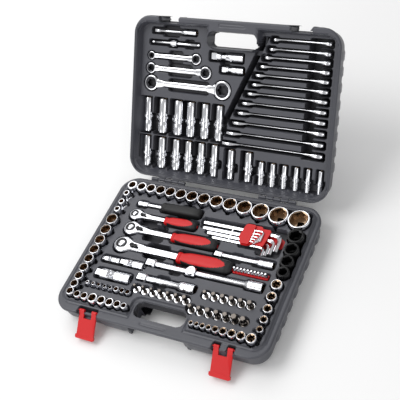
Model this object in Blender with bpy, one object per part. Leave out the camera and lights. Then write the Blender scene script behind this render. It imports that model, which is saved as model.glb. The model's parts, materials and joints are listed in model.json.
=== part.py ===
"""Socket wrench set in a blow-moulded carrying case.

The base lies on the floor with its underside at z = 0, +X runs along the hinge and +Y points to the
hinge side.  The lid stands open on its hinge stop.  Lengths below are millimetres; the mesh is metres.
"""
import math

import bpy
import bmesh
from mathutils import Matrix, Vector

# ---------------------------------------------------------------- case sizes
CASE_W = 449.0            # outside width along the hinge
HALF_D = 334.5            # depth of one half, hinge side to latch side
BASE_H = 46.0             # underside to parting plane
LID_H = 52.0              # outside back of the lid to parting plane
RIM_BAND = 6.0            # height of the outer lip at the parting plane
WALL_IN = 4.0             # the walls stand back from the lip by this much
CORNER_R = 38.0
PART_GAP = 0.3            # gap left at the parting plane and between loose pieces
HINGE_OUT = 3.75          # hinge axis beyond the lip
LID_OPEN = 130.0          # degrees from closed to the hinge stop
DECK_UP = 4.5             # base tray deck above the parting plane
LID_DECK = -17.0          # lid tray deck below its parting plane
TRAY_X = 212.0            # half width of the tray
TRAY_FRONT = -148.0
TRAY_BACK = 155.0
GRIP_BACK = -144.5        # rear face of the grip bar
HOLE_BACK = -112.5        # rear face of the hand hole
HOLE_X = 53.0
BAY_X = 61.0              # the tray goes round the hand hole at this half width
BAY_TOP = -106.5
BASE_GRIP_T = 13.0        # thickness of the base half of the grip bar
LID_GRIP_T = 26.0         # and of the lid half

# ---------------------------------------------------------------- latches and hinges
LATCH_X = 143.0
LATCH_PIN_Y = -158.0
LATCH_PIN_H = -4.0
LATCH_L = 53.0
LATCH_W = 40.0
LATCH_HANG = 39.0         # degrees below level at rest, hanging clear of the front wall
NOTCH_W = 43.0
NOTCH_Y = -152.0
HINGE_SPANS = ((-165.0, -85.0), (82.0, 162.0))
KNUCKLES = 5
KNUCKLE_R = 3.3
HINGE_PIN_R = 1.5
RUN_GAP = 0.3            # radial running clearance on a pin

# ---------------------------------------------------------------- tools
TOP = 14.5                # socket tops above the parting plane
BIT_TOP = 16.0
L_HALF = 38.0             # 1/2 inch drive socket length
L_MID = 28.0              # 3/8 inch drive
L_QTR = 25.0              # 1/4 inch drive
GAP = 0.9                 # between neighbouring sockets
DRIVE = {"half": 12.7, "mid": 9.5, "qtr": 6.35}
HEX_HALF = (13, 14, 15, 16, 17, 18, 19, 20, 21, 22, 24, 27, 30, 32)
HEX_MID = (19, 18, 17, 16, 15, 14, 13, 12, 11)
HEX_QTR = (4, 4.5, 5, 5.5, 6, 7, 8, 9)
IMPACT = (21, 19, 17, 14)
LID_SHIFT = HALF_D / 2 + HINGE_OUT
SIN_T, COS_T = math.sin(math.radians(LID_OPEN)), math.cos(math.radians(LID_OPEN))

BASE = Matrix.Translation(Vector((0, 0, BASE_H)))
LID = Matrix(((1, 0, 0, 0), (0, -COS_T, -SIN_T, LID_SHIFT), (0, SIN_T, -COS_T, BASE_H), (0, 0, 0, 1)))
ALONG_X = Matrix(((0, 0, 1, 0), (1, 0, 0, 0), (0, 1, 0, 0), (0, 0, 0, 1)))
ALONG_Y = Matrix(((1, 0, 0, 0), (0, 0, 1, 0), (0, -1, 0, 0), (0, 0, 0, 1)))


# ---------------------------------------------------------------- mesh helpers
def ngon(n, r, x=0.0, y=0.0, turn=0.5):
    """Regular polygon; r is the corner radius."""
    return [(x + r * math.cos(2 * math.pi * (k + turn) / n), y + r * math.sin(2 * math.pi * (k + turn) / n))
            for k in range(n)]


def hexagon(flats, turn=0.0):
    return ngon(6, flats / math.sqrt(3.0), turn=turn)


def square(side):
    return ngon(4, side / math.sqrt(2.0))


def star(points, r_out, r_in):
    """Lobed recess or bit outline with alternating radii."""
    return [((r_out if k % 2 == 0 else r_in) * math.cos(math.pi * k / points),
             (r_out if k % 2 == 0 else r_in) * math.sin(math.pi * k / points)) for k in range(2 * points)]


def rect(x0, x1, y0, y1):
    return [(x0, y0), (x1, y0), (x1, y1), (x0, y1)]


def rounded(x0, x1, y0, y1, r, seg=4):
    out = []
    for cx, cy, a in ((x1 - r, y1 - r, 0), (x0 + r, y1 - r, 90), (x0 + r, y0 + r, 180),
                      (x1 - r, y0 + r, 270)):
        for k in range(seg + 1):
            t = math.radians(a + 90.0 * k / seg)
            out.append((cx + r * math.cos(t), cy + r * math.sin(t)))
    return out


def fillet(corners, seg=3):
    """Polygon from (x, y, radius) corners, each rounded by its radius."""
    out = []
    n = len(corners)
    for k in range(n):
        p = Vector(corners[k][:2])
        r = corners[k][2]
        a = (Vector(corners[k - 1][:2]) - p).normalized()
        b = (Vector(corners[(k + 1) % n][:2]) - p).normalized()
        half = math.acos(max(-1.0, min(1.0, a.dot(b)))) / 2
        if r == 0:
            out.append(tuple(p))
            continue
        centre = p + (a + b).normalized() * (r / math.sin(half))
        start = (p + a * (r / math.tan(half))) - centre
        end = (p + b * (r / math.tan(half))) - centre
        sweep = math.pi - 2 * half
        sign = 1.0 if start.x * end.y - start.y * end.x > 0 else -1.0
        for j in range(seg + 1):
            t = sign * sweep * j / seg
            out.append((centre.x + start.x * math.cos(t) - start.y * math.sin(t),
                        centre.y + start.x * math.sin(t) + start.y * math.cos(t)))
    return out


def lift(outline, z):
    return [Vector((x, y, z)) for x, y in outline]


class Body:
    """Closed shells collected into one mesh, in millimetres."""

    def __init__(self):
        self.verts = []
        self.faces = []

    def loops(self, loops, ring=False, frame=None):
        """Skin a row of closed loops; ring joins the last to the first, otherwise both ends are capped."""
        base = []
        for loop in loops:
            base.append((len(self.verts), len(loop)))
            self.verts += [frame @ p if frame else p for p in loop]
        pairs = list(zip(range(len(loops) - 1), range(1, len(loops))))
        if ring:
            pairs.append((len(loops) - 1, 0))
        for a, b in pairs:
            self._skin(loops[a], base[a], loops[b], base[b])
        if not ring:
            for start, n in (base[0], base[-1]):
                self.faces.append([start + k for k in range(n)])
        return self

    def _skin(self, pa, a, pb, b):
        (sa, na), (sb, nb) = a, b
        if na == nb:
            for k in range(na):
                j = (k + 1) % na
                self.faces.append([sa + k, sa + j, sb + j, sb + k])
            return
        mid = sum(pa, Vector()) / na
        turn_a = [math.atan2(p.y - mid.y, p.x - mid.x) for p in pa]
        turn_b = [math.atan2(p.y - mid.y, p.x - mid.x) for p in pb]

        def steps(turn):
            out = [0.0]
            for k in range(1, len(turn) + 1):
                d = (turn[k % len(turn)] - turn[k - 1] + math.pi) % (2 * math.pi) - math.pi
                out.append(out[-1] + d)
            return out

        first = min(range(nb), key=lambda k: abs((turn_b[k] - turn_a[0] + math.pi) % (2 * math.pi) - math.pi))
        shift = (turn_b[first] - turn_a[0] + math.pi) % (2 * math.pi) - math.pi
        go_a = steps(turn_a)
        go_b = [shift + v for v in steps(turn_b[first:] + turn_b[:first])]
        i = j = 0
        while i < na or j < nb:
            va, vb = sa + i % na, sb + (first + j) % nb
            if j >= nb or (i < na and go_a[i + 1] <= go_b[j + 1]):
                self.faces.append([va, sa + (i + 1) % na, vb])
                i += 1
            else:
                self.faces.append([va, sb + (first + j + 1) % nb, vb])
                j += 1

    def prism(self, outline, z0, z1, frame=None):
        return self.loops([lift(outline, z0), lift(outline, z1)], frame=frame)

    def box(self, x0, x1, y0, y1, z0, z1, frame=None):
        return self.prism(rect(x0, x1, y0, y1), z0, z1, frame)

    def rod(self, profile, sides, frame):
        """Solid of revolution from (z, r) pairs; a third value names another outline at that station."""
        loops = []
        for item in profile:
            outline = item[2] if len(item) > 2 else ngon(sides, item[1])
            loops.append(lift(outline, item[0]))
        return self.loops(loops, frame=frame)


MATERIALS = {
    "case": ((0.085, 0.09, 0.105), 0.0, 0.55), "latch": ((0.72, 0.02, 0.025), 0.0, 0.4),
    "chrome": ((0.82, 0.83, 0.85), 1.0, 0.12), "impact": ((0.012, 0.012, 0.014), 0.6, 0.4),
    "grip_red": ((0.72, 0.02, 0.025), 0.0, 0.45), "grip_black": ((0.02, 0.02, 0.023), 0.0, 0.6),
    "steel_dark": ((0.09, 0.09, 0.095), 1.0, 0.35), "holder_red": ((0.78, 0.02, 0.02), 0.0, 0.4),
}


def material(slot):
    mat = bpy.data.materials.get(slot)
    if mat is None:
        colour, metal, rough = MATERIALS[slot]
        mat = bpy.data.materials.new(slot)
        mat.use_nodes = True
        shader = mat.node_tree.nodes["Principled BSDF"]
        shader.inputs["Base Color"].default_value = (*colour, 1.0)
        shader.inputs["Metallic"].default_value = metal
        shader.inputs["Roughness"].default_value = rough
    return mat


def make(name, body, frame, slot, origin=None, helper=False):
    """Add one object; origin is a point of the frame's own space that the joint turns about."""
    at = (frame @ Vector(origin)) if origin is not None else Vector()
    mesh = bpy.data.meshes.new(name)
    mesh.from_pydata([((frame @ v) - at) * 0.001 for v in body.verts], [], body.faces)
    bm = bmesh.new()
    bm.from_mesh(mesh)
    bmesh.ops.recalc_face_normals(bm, faces=bm.faces)
    bm.to_mesh(mesh)
    bm.free()
    obj = bpy.data.objects.new(name, mesh)
    obj.location = at * 0.001
    bpy.context.scene.collection.objects.link(obj)
    if slot:
        mesh.materials.append(material(slot))
    if helper:
        obj.hide_render = True
        obj.display_type = "WIRE"
    return obj


def combine(obj, how, label, body, frame):
    """Boolean obj with a helper body given in the frame's space."""
    tool = make(f"{obj.name}_{label}", body, frame, None, helper=True)
    mod = obj.modifiers.new(label, "BOOLEAN")
    mod.operation = how
    mod.solver = "EXACT"
    mod.object = tool
    return obj


# ---------------------------------------------------------------- case halves
def tray_outline(grow, side):
    """Edge of the inner tray; side -1 puts the latch side at -y (base), +1 at +y (lid, about its middle)."""
    x, f, b, r = TRAY_X + grow, TRAY_FRONT - grow, TRAY_BACK + grow, 20.0 + grow
    bx, bt = BAY_X - grow, BAY_TOP - grow
    pts = [(-x, f, r), (-bx, f, 12.0), (-bx, bt, 16.0), (bx, bt, 16.0), (bx, f, 12.0), (x, f, r),
           (x, b, r), (-x, b, r)]
    if side > 0:
        pts = [(px, -py, pr) for px, py, pr in reversed(pts)]
    return fillet(pts)


def shell_body(depth, top):
    """Outside of a half: lip, set-back drafted wall, rounded-off bottom edge."""
    w, d = CASE_W / 2, HALF_D / 2
    rings = []
    for z, inset, r in ((top, 0.0, CORNER_R), (-RIM_BAND, 0.0, CORNER_R), (-RIM_BAND - 1.0, WALL_IN, 34.0),
                        (-depth + 12.0, WALL_IN + 2.0, 32.0), (-depth + 3.0, WALL_IN + 6.0, 28.0),
                        (-depth, WALL_IN + 12.0, 22.0)):
        rings.append(lift(rounded(-w + inset, w - inset, -d + inset, d - inset, r), z))
    return Body().loops(rings)


def knuckles(own, sign):
    """Hinge knuckles as keyhole profiles along X; sign is -1 when the half lies at -y."""
    body = Body()
    for x0, x1 in HINGE_SPANS:
        step = (x1 - x0) / KNUCKLES
        for k in range(KNUCKLES):
            if (k % 2 == 0) != own:
                continue
            arc = [(-sign * KNUCKLE_R * math.sin(math.radians(a)), KNUCKLE_R * math.cos(math.radians(a)))
                   for a in range(-84, 181, 24)]
            outer = [(sign * 7.0, -KNUCKLE_R), (sign * 7.0, -PART_GAP), (sign * KNUCKLE_R, -PART_GAP)] + arc
            body.prism(outer, x0 + step * k + 0.2, x0 + step * (k + 1) - 0.2, ALONG_X)
    return body


def pin_bores():
    body = Body()
    for x0, x1 in HINGE_SPANS:
        body.prism(ngon(10, HINGE_PIN_R + RUN_GAP), x0 - 1.0, x1 + 1.0, ALONG_X)
    return body


def hole_outline(side):
    y0, y1 = sorted((side * abs(GRIP_BACK), side * abs(HOLE_BACK)))
    return rounded(-HOLE_X, HOLE_X, y0, y1, 13.0, 3)


def undercut(side, depth):
    """Space below the grip bar, open to the latch side."""
    if side > 0:
        return Body().box(-HOLE_X - 9.0, HOLE_X + 9.0, abs(HOLE_BACK), HALF_D / 2 + 4.0, -depth - 2.0,
                          -LID_GRIP_T)
    body = Body().box(-HOLE_X - 7.0, HOLE_X + 7.0, -HALF_D / 2 - 4.0, -118.0, -depth - 2.0, -BASE_GRIP_T)
    return body


def scoop(depth):
    """Sloping space behind the hand hole, under the tray of the base, where the fingers close."""
    run = depth + 2.0 - BASE_GRIP_T
    side_view = [(-119.0, -depth - 2.0), (HOLE_BACK + run, -depth - 2.0), (HOLE_BACK, -BASE_GRIP_T),
                 (-119.0, -BASE_GRIP_T)]
    loops = [[Vector((x, y, z)) for y, z in side_view] for x in (-44.0, 44.0)]
    return Body().loops(loops)


# ---------------------------------------------------------------- tool meshes (axis along local z)
def socket(body, x, y, top, length, head, base, recess, drive, sides, frame=None):
    """Socket standing on its drive end: head diameter above, drive-end diameter below, blind recess, drive hole."""
    place = Matrix.Translation(Vector((x, y, top - length)))
    if frame:
        place = frame @ place
    loops = [lift(ngon(sides, base / 2), 0.0)]
    if base > head + 0.5:
        loops += [lift(ngon(sides, base / 2), length * 0.42), lift(ngon(sides, head / 2), length * 0.56)]
    loops += [lift(ngon(sides, head / 2), length), lift(recess, length), lift(recess, length * 0.5)]
    if drive:
        loops += [lift(square(drive + 0.2), length * 0.5), lift(square(drive + 0.2), 0.0)]
        return body.loops(loops, ring=True, frame=place)
    return body.loops(loops, frame=place)


def head_od(size):
    return 1.28 * size + 1.5


def row(sizes, start, direction, head, base):
    """Centre positions of neighbouring sockets along a line, from their diameters."""
    out, at = [], start
    for k, size in enumerate(sizes):
        if k:
            at += direction * ((base(sizes[k - 1]) + base(size)) / 2 + GAP)
        out.append((size, at, head(size), base(size)))
    return out


def web(obj, boxes, frame=BASE):
    """Thin strips low in the tray that carry a row of loose pieces as one."""
    for k, box in enumerate(boxes):
        combine(obj, "UNION", f"web_{k}", Body().box(*box), frame)


def extension(body, x0, x1, y, h, shaft, socket_d, drive, frame=None, sides=10):
    """Bar along X: square drive at x0, female end at x1."""
    place = Matrix.Translation(Vector((x0, y, h))) @ ALONG_X
    if frame:
        place = frame @ place
    length = x1 - x0
    dl = drive * 1.15
    prof = [(0.0, 0.0, square(drive)), (dl, 0.0, square(drive)), (dl, drive * 0.72), (dl + 6.0, shaft / 2),
            (length - 34.0, shaft / 2), (length - 28.0, socket_d / 2), (length, socket_d / 2),
            (length, 0.0, square(drive + 0.2)), (length - dl - 3.0, 0.0, square(drive + 0.2))]
    return body.rod(prof, sides, place)


def ratchet(name, y, h, left, head_len, head_w, head_t, button_x, lever_x, shaft_w, grip_x0, grip_x1,
            grip_w, grip_t, drive):
    """One ratchet lying along X with its drive pointing down: body, grip, lever, button and drive square."""
    top = h + head_t / 2
    low = h - head_t / 2
    nose = left + head_w / 2
    neck = left + head_len
    outline = [(nose + head_w / 2 * math.cos(math.radians(a)), head_w / 2 * math.sin(math.radians(a)))
               for a in range(75, 286, 30)]
    outline = outline + [(nose + head_w * 0.62, -head_w * 0.36), (neck, -shaft_w / 2),
                         (grip_x0 + 14.0, -shaft_w / 2), (grip_x0 + 14.0, shaft_w / 2), (neck, shaft_w / 2),
                         (nose + head_w * 0.62, head_w * 0.36)]
    at = BASE @ Matrix.Translation(Vector((0, y, 0)))
    obj = make(f"ratchet_{name}_body", Body().prism(outline, low, top), at, "chrome")
    thin = Body()
    thin.box(neck + 4.0, grip_x0 + 16.0, -shaft_w, shaft_w, top - head_t * 0.22, top + 3.0)
    thin.box(neck + 4.0, grip_x0 + 16.0, -shaft_w, shaft_w, low - 3.0, low + head_t * 0.22)
    combine(obj, "DIFFERENCE", "shaft_cut", thin, at)
    bores = Body()
    seat = drive * 0.84
    bores.prism(ngon(12, seat, button_x, 0.0), low - 2.0, low + head_t * 0.45)
    bores.prism(ngon(10, drive * 0.42 + 0.3, button_x, 0.0), top - head_t * 0.25, top + 2.0)
    combine(obj, "DIFFERENCE", "bores", bores, at)

    disc = ngon(12, seat * math.cos(math.pi / 12) - 0.2, button_x, 0.0)
    gear = Body()
    gear.loops([lift(disc, low + head_t * 0.45 - PART_GAP), lift(disc, low - 1.0),
                lift([(button_x + px, py) for px, py in square(drive)], low - 1.0),
                lift([(button_x + px, py) for px, py in square(drive)], low - 1.0 - drive)])
    make(f"ratchet_{name}_drive", gear, at, "chrome", (button_x, 0.0, low))
    button = Body().prism(ngon(10, drive * 0.42, button_x, 0.0), top - head_t * 0.25 + 3.2, top + 1.6)
    make(f"ratchet_{name}_button", button, at, "chrome", (button_x, 0.0, top))
    lever = Body()
    lw = head_w * 0.13
    lever.prism([(lever_x + px, py) for px, py in
                 ((-lw, -lw), (lw * 0.6, -lw), (lw * 3.0, -lw * 0.6), (lw * 3.0, lw * 0.6),
                  (lw * 0.6, lw), (-lw, lw))],
                top + PART_GAP, top + 3.2)
    make(f"ratchet_{name}_lever", lever, at, "steel_dark", (lever_x, 0.0, top))

    grip = Body()
    rings = []
    for f, s in ((0.0, 0.62), (0.06, 0.8), (0.5, 0.94), (0.82, 1.0), (0.95, 0.9), (1.0, 0.55)):
        rings.append(lift([(a * s, b * s) for a, b in
                           fillet([(-grip_w / 2, -grip_t / 2, 6.0), (grip_w / 2, -grip_t / 2, 6.0),
                                   (grip_w / 2, grip_t / 2, 6.0), (-grip_w / 2, grip_t / 2, 6.0)], 1)],
                          grip_x0 + f * (grip_x1 - grip_x0)))
    grip.loops(rings, frame=Matrix.Translation(Vector((0, 0, h))) @ ALONG_X)
    obj = make(f"ratchet_{name}_grip", grip, at, "grip_red")
    socket_cut = Body().box(grip_x0 - 2.0, grip_x0 + 14.0 + PART_GAP, -shaft_w / 2 - PART_GAP,
                            shaft_w / 2 + PART_GAP,
                            h - head_t * 0.28 - PART_GAP, h + head_t * 0.28 + PART_GAP)
    combine(obj, "DIFFERENCE", "tang", socket_cut, at)


def gear_wrench(name, u0, u1, s, r0, r1, thick):
    """Flat double-ring wrench in the lid with a separate ratcheting ring in each end."""
    top, low = LID_DECK, LID_DECK - thick
    neck = thick * 0.55
    arc0 = [(u0 + r0 * math.cos(math.radians(a)),
             r0 * math.sin(math.radians(a))) for a in range(40, 321, 35)]
    arc1 = [(u1 + r1 * math.cos(math.radians(a)),
             r1 * math.sin(math.radians(a))) for a in range(-140, 141, 35)]
    outline = arc0 + [(u0 + r0 * 1.5, -neck), (u1 - r1 * 1.5, -neck)] + arc1 + \
        [(u1 - r1 * 1.5, neck), (u0 + r0 * 1.5, neck)]
    at = LID @ Matrix.Translation(Vector((0, s, 0)))
    obj = make(f"ring_wrench_{name}_body", Body().prism(outline, low, top), at, "chrome")
    holes = Body()
    for u, r in ((u0, r0), (u1, r1)):
        holes.prism(ngon(16, r * 0.78, u, 0.0), low - 1.0, top + 1.0)
    combine(obj, "DIFFERENCE", "ring_seats", holes, at)
    for tag, u, r in (("small", u0, r0), ("large", u1, r1)):
        outer = ngon(16, r * 0.78 * math.cos(math.pi / 16) - 0.2, u, 0.0)
        inner = [(u + px, py) for px, py in star(6, r * 0.58, r * 0.5)]
        ring = Body().loops([lift(outer, low + 0.3), lift(outer, top - 0.3), lift(inner, top - 0.3),
                             lift(inner, low + 0.3)], ring=True)
        make(f"ring_wrench_{name}_{tag}", ring, at, "chrome", (u, 0.0, top))


def build_base():
    d = HALF_D / 2
    obj = make("base_half", shell_body(BASE_H, 0.0), BASE, "case")
    tray = Body().loops([lift(tray_outline(0.0, -1), -2.0), lift(tray_outline(-1.0, -1), DECK_UP)])
    combine(obj, "UNION", "tray", tray, BASE)
    axis = BASE @ Matrix.Translation(Vector((0, LID_SHIFT, 0)))
    combine(obj, "UNION", "knuckles", knuckles(True, -1), axis)
    combine(obj, "DIFFERENCE", "pin_bores", pin_bores(), axis)
    for k, (x0, x1, y0, y1, floor) in enumerate(BASE_TROUGHS):
        combine(obj, "DIFFERENCE", f"trough_{k}", Body().box(x0, x1, y0, y1, floor, 20.0), BASE)
    combine(obj, "DIFFERENCE", "undercut", undercut(-1, BASE_H), BASE)
    combine(obj, "DIFFERENCE", "scoop", scoop(BASE_H), BASE)
    combine(obj, "DIFFERENCE", "hand_hole", Body().prism(hole_outline(-1), -BASE_H - 2.0, 20.0), BASE)
    hollow = Body().prism(fillet([(-200, -144, 14), (-66, -144, 6), (-66, -68, 6), (66, -68, 6),
                                  (66, -144, 6),
                                  (200, -144, 14), (200, 144, 14), (-200, 144, 14)], 1),
                          -BASE_H + 2.5, -28.0)
    combine(obj, "DIFFERENCE", "hollow", hollow, BASE)
    blow = Body().prism(ngon(10, 4.0, 0.0, 60.0), -BASE_H - 2.0, -BASE_H + 4.0)
    combine(obj, "DIFFERENCE", "blow_hole", blow, BASE)
    seats = Body()
    bores = Body()
    lugs = Body()
    for x in (-LATCH_X, LATCH_X):
        seats.box(x - NOTCH_W / 2, x + NOTCH_W / 2, -d - 3.0, NOTCH_Y, -15.0, 2.0)
        lugs.box(x - 7.0, x + 7.0, -165.5, NOTCH_Y + 1.0, -14.0, -1.0)
        bores.prism(ngon(12, HINGE_PIN_R + 0.15), x - NOTCH_W / 2 - 5.0, x + NOTCH_W / 2 + 5.0,
                    Matrix.Translation(Vector((0, LATCH_PIN_Y, LATCH_PIN_H))) @ ALONG_X)
    combine(obj, "DIFFERENCE", "latch_seats", seats, BASE)
    combine(obj, "UNION", "latch_lugs", lugs, BASE)
    combine(obj, "DIFFERENCE", "latch_bores", bores, BASE)


def build_lid():
    mid = LID @ Matrix.Translation(Vector((0, LID_SHIFT, 0)))
    d = HALF_D / 2
    obj = make("lid_half", shell_body(LID_H, -PART_GAP), mid, "case", (0.0, -LID_SHIFT, 0.0))
    tray = Body().loops([lift(tray_outline(0.0, 1), LID_DECK), lift(tray_outline(4.0, 1), 10.0)])
    combine(obj, "DIFFERENCE", "tray", tray, mid)
    for k, (outline, floor) in enumerate(LID_TROUGHS):
        combine(obj, "DIFFERENCE", f"trough_{k}", Body().prism(outline, floor, 10.0), LID)
    combine(obj, "DIFFERENCE", "undercut", undercut(1, LID_H), mid)
    combine(obj, "DIFFERENCE", "hand_hole", Body().prism(hole_outline(1), -LID_H - 2.0, 20.0), mid)
    combine(obj, "DIFFERENCE", "hollow", Body().box(-206, -30, 184, 266, -LID_H + 2.5, -32.0), LID)
    blow = Body().prism(ngon(10, 4.0, -120.0, 225.0), -LID_H - 2.0, -LID_H + 4.0)
    combine(obj, "DIFFERENCE", "blow_hole", blow, LID)
    seats = Body()
    for x in (-LATCH_X, LATCH_X):
        seats.box(x - NOTCH_W / 2, x + NOTCH_W / 2, d - 12.5, d + 4.0, -LID_H - 2.0, 2.0)
    combine(obj, "DIFFERENCE", "latch_seats", seats, mid)
    combine(obj, "UNION", "knuckles", knuckles(False, 1), LID)
    combine(obj, "DIFFERENCE", "pin_bores", pin_bores(), LID)


def build_fittings():
    axis = BASE @ Matrix.Translation(Vector((0, LID_SHIFT, 0))) @ ALONG_X
    for tag, (x0, x1) in zip(("left", "right"), HINGE_SPANS):
        pin = Body().prism(ngon(10, HINGE_PIN_R - 0.05), x0 + 0.3, x1 - 0.3)
        make(f"hinge_pin_{tag}", pin, axis, "chrome")
    for tag, x in (("left", -LATCH_X), ("right", LATCH_X)):
        at = BASE @ Matrix.Translation(Vector((x, LATCH_PIN_Y, LATCH_PIN_H))) @ \
            Matrix.Rotation(math.radians(180.0 + LATCH_HANG), 4, "X") @ ALONG_X
        w = LATCH_W / 2 - 1.0
        profile = [(3.0 * math.cos(math.radians(a)),
                    3.0 * math.sin(math.radians(a))) for a in range(60, 301, 30)]
        profile += [(8.0, -1.8), (LATCH_L - 9.0, -1.8), (LATCH_L, -3.6), (LATCH_L, 1.2),
                    (LATCH_L - 9.0, 1.8), (8.0, 1.8)]
        obj = make(f"latch_{tag}", Body().prism(profile, -w, w), at, "latch", (0.0, 0.0, 0.0))
        gap = Body().box(-8.0, 14.0, -8.0, 8.0, -8.5, 8.5)
        combine(obj, "DIFFERENCE", "lug_gap", gap, at)
        pins = Body()
        pins.prism(ngon(10, HINGE_PIN_R - 0.1), -w - 4.5, -w + 2.0)
        pins.prism(ngon(10, HINGE_PIN_R - 0.1), w - 2.0, w + 4.5)
        combine(obj, "UNION", "pins", pins, at)
        lip = Body().box(LATCH_L - 7.0, LATCH_L - 1.0, -3.0, 0.8, -LATCH_W / 2 - 1.0, LATCH_W / 2 + 1.0)
        combine(obj, "UNION", "lip", lip, at)


# ---------------------------------------------------------------- tray contents of the base
def build_socket_rows():
    rows = Body()
    x = -191.0
    for k, size in enumerate(HEX_HALF):
        od = max(22.0, head_od(size))
        if k:
            x += od / 2 + before + GAP
        before = od / 2
        socket(rows, x, 146.6 - od / 2, TOP, L_HALF, od, od, hexagon(size + 0.2), DRIVE["half"], 12)
    obj = make("sockets_back_row", rows, BASE, "chrome")
    web(obj, [(-191.0, x, 143.8, 145.4, TOP - L_HALF + 0.4, TOP - L_HALF + 2.0)])

    rows = Body()
    for size, px, py, od in zip(IMPACT, (193, 195, 196, 197), (87, 57, 30, 6), (32.0, 29.0, 26.0, 24.0)):
        socket(rows, px, py, TOP, L_HALF, od, od, hexagon(size + 0.2), 0, 12)
    obj = make("sockets_impact", rows, BASE, "impact")
    web(obj, [(194.5, 196.5, 6.0, 87.0, TOP - L_HALF + 0.4, TOP - L_HALF + 2.0)])

    rows = Body()
    for r, px, py in zip((10.5, 9.6, 8.6, 7.6, 6.6), (195, 195, 197, 198, 198), (-22, -48, -73, -95, -115)):
        socket(rows, px, py, TOP, L_MID, 2 * r, 2 * r, ngon(8, r * 0.66), 0, 10)
    for r, px in zip((9.5, 8.5, 8.0, 7.5, 6.5, 5.5, 5.5, 5.0, 5.0),
                     (190, 170.5, 152.8, 136, 120.8, 107.6, 95.4, 83.6, 72.4)):
        socket(rows, px, -135.5, TOP, L_MID, 2 * r, 2 * r, ngon(8, r * 0.66), 0, 10)
    obj = make("sockets_etorx", rows, BASE, "chrome")
    low = TOP - L_MID + 0.4
    web(obj, [(195.5, 197.5, -135.5, -22.0, low, low + 1.5), (72.4, 197.5, -136.5, -134.5, low, low + 1.5)])

    rows = Body()
    for y, head, foot in ((113, 14, 20), (90, 14, 20), (70, 14, 18)):
        socket(rows, -194, y, TOP, L_MID, head, foot, hexagon(8.2), 0, 10)
    for size, y in zip(HEX_MID, (44, 16.5, -9.5, -33.5, -56, -77.5, -97.5, -116, -133.2)):
        od = min(26.0, 1.1 * size + 5.0)
        socket(rows, -193, y, TOP, L_MID, od - 1.0, od - 1.0, hexagon(size + 0.2), 0, 10)
    for px, od, size in zip((-175, -158.5, -139.5, -119.5, -101, -84, -69.5),
                            (14.5, 15, 19.5, 18, 17, 15, 12.5),
                            (10, 10, 13, 12, 11, 10, 8)):
        socket(rows, px, -136, TOP, L_MID, od, od, hexagon(size + 0.2), 0, 10)
    obj = make("sockets_left_rows", rows, BASE, "chrome")
    web(obj, [(-194.0, -192.0, -137.0, 113.0, low, low + 1.5),
              (-194.0, -69.5, -137.0, -135.0, low, low + 1.5)])

    rows = Body()
    for size, px in zip(HEX_QTR, (-169, -155.5, -142.5, -129.5, -116.5, -103.5, -90.5, -77.5)):
        socket(rows, px, -105.5, 12.0, L_QTR, 8.0 if size < 7 else 11.0, 11.5, hexagon(size + 0.2), 0, 10)
    obj = make("sockets_quarter_row", rows, BASE, "chrome")
    web(obj, [(-169.0, -77.5, -106.5, -104.5, 12.4 - L_QTR, 13.9 - L_QTR)])


def bit_socket(body, x, y, ring_d, low, top, tip, tip_r):
    """Bit held in a short drive body."""
    outline = star(4, tip_r, tip_r * 0.74) if tip == "star" else ngon(6, tip_r)
    place = Matrix.Translation(Vector((x, y, 0)))
    body.loops([lift(ngon(10, ring_d / 2), low), lift(ngon(10, ring_d / 2), top), lift(outline, top),
                lift(outline, BIT_TOP)],
               frame=place)


def build_bits():
    rows = Body()
    xs = (-69, -50.5, -32.5, -15, 2.5, 20, 37.5, 56, 74, 91.5, 109, 126.5, 144, 161.5)
    for k, x in enumerate(xs):
        y = -90.0 if k < 7 else -104.0
        bit_socket(rows, x, y, 16.6, -21.0, -1.5, "star" if k % 3 else "hex", 2.6 + 0.24 * k)
    obj = make("bit_sockets_front", rows, BASE, "chrome")
    web(obj, [(-69.0, 48.0, -91.0, -89.0, -20.6, -19.1), (46.0, 48.0, -105.0, -89.0, -20.6, -19.1),
                     (46.0, 161.5, -105.0, -103.0, -20.6, -19.1)])
    rows = Body()
    for k, x in enumerate((71, 89, 107, 125, 143, 161)):
        bit_socket(rows, x, -70.0, 16.6, -21.0, 0.5, "hex" if k < 4 else "star", 3.4 + 0.35 * k)
    obj = make("bit_sockets_rear", rows, BASE, "chrome")
    web(obj, [(71.0, 161.0, -71.0, -69.0, -20.6, -19.1)])

    strip = Body().box(100.5, 171.5, -11.5, -2.0, -8.0, 2.0)
    make("bit_strip", strip, BASE, "holder_red")
    bits = Body()
    for k in range(10):
        x = 104.5 + 7.0 * k
        bits.loops([lift(hexagon(6.3, 0.5), 2.3), lift(hexagon(6.3, 0.5), 8.0),
                    lift(hexagon(3.6, 0.5), 11.0),
                    lift(hexagon(3.2, 0.5), 14.0)], frame=Matrix.Translation(Vector((x, -6.7, 0))))
    obj = make("bit_set", bits, BASE, "chrome")
    web(obj, [(104.5, 167.5, -7.5, -5.9, 2.6, 3.6)])


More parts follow.
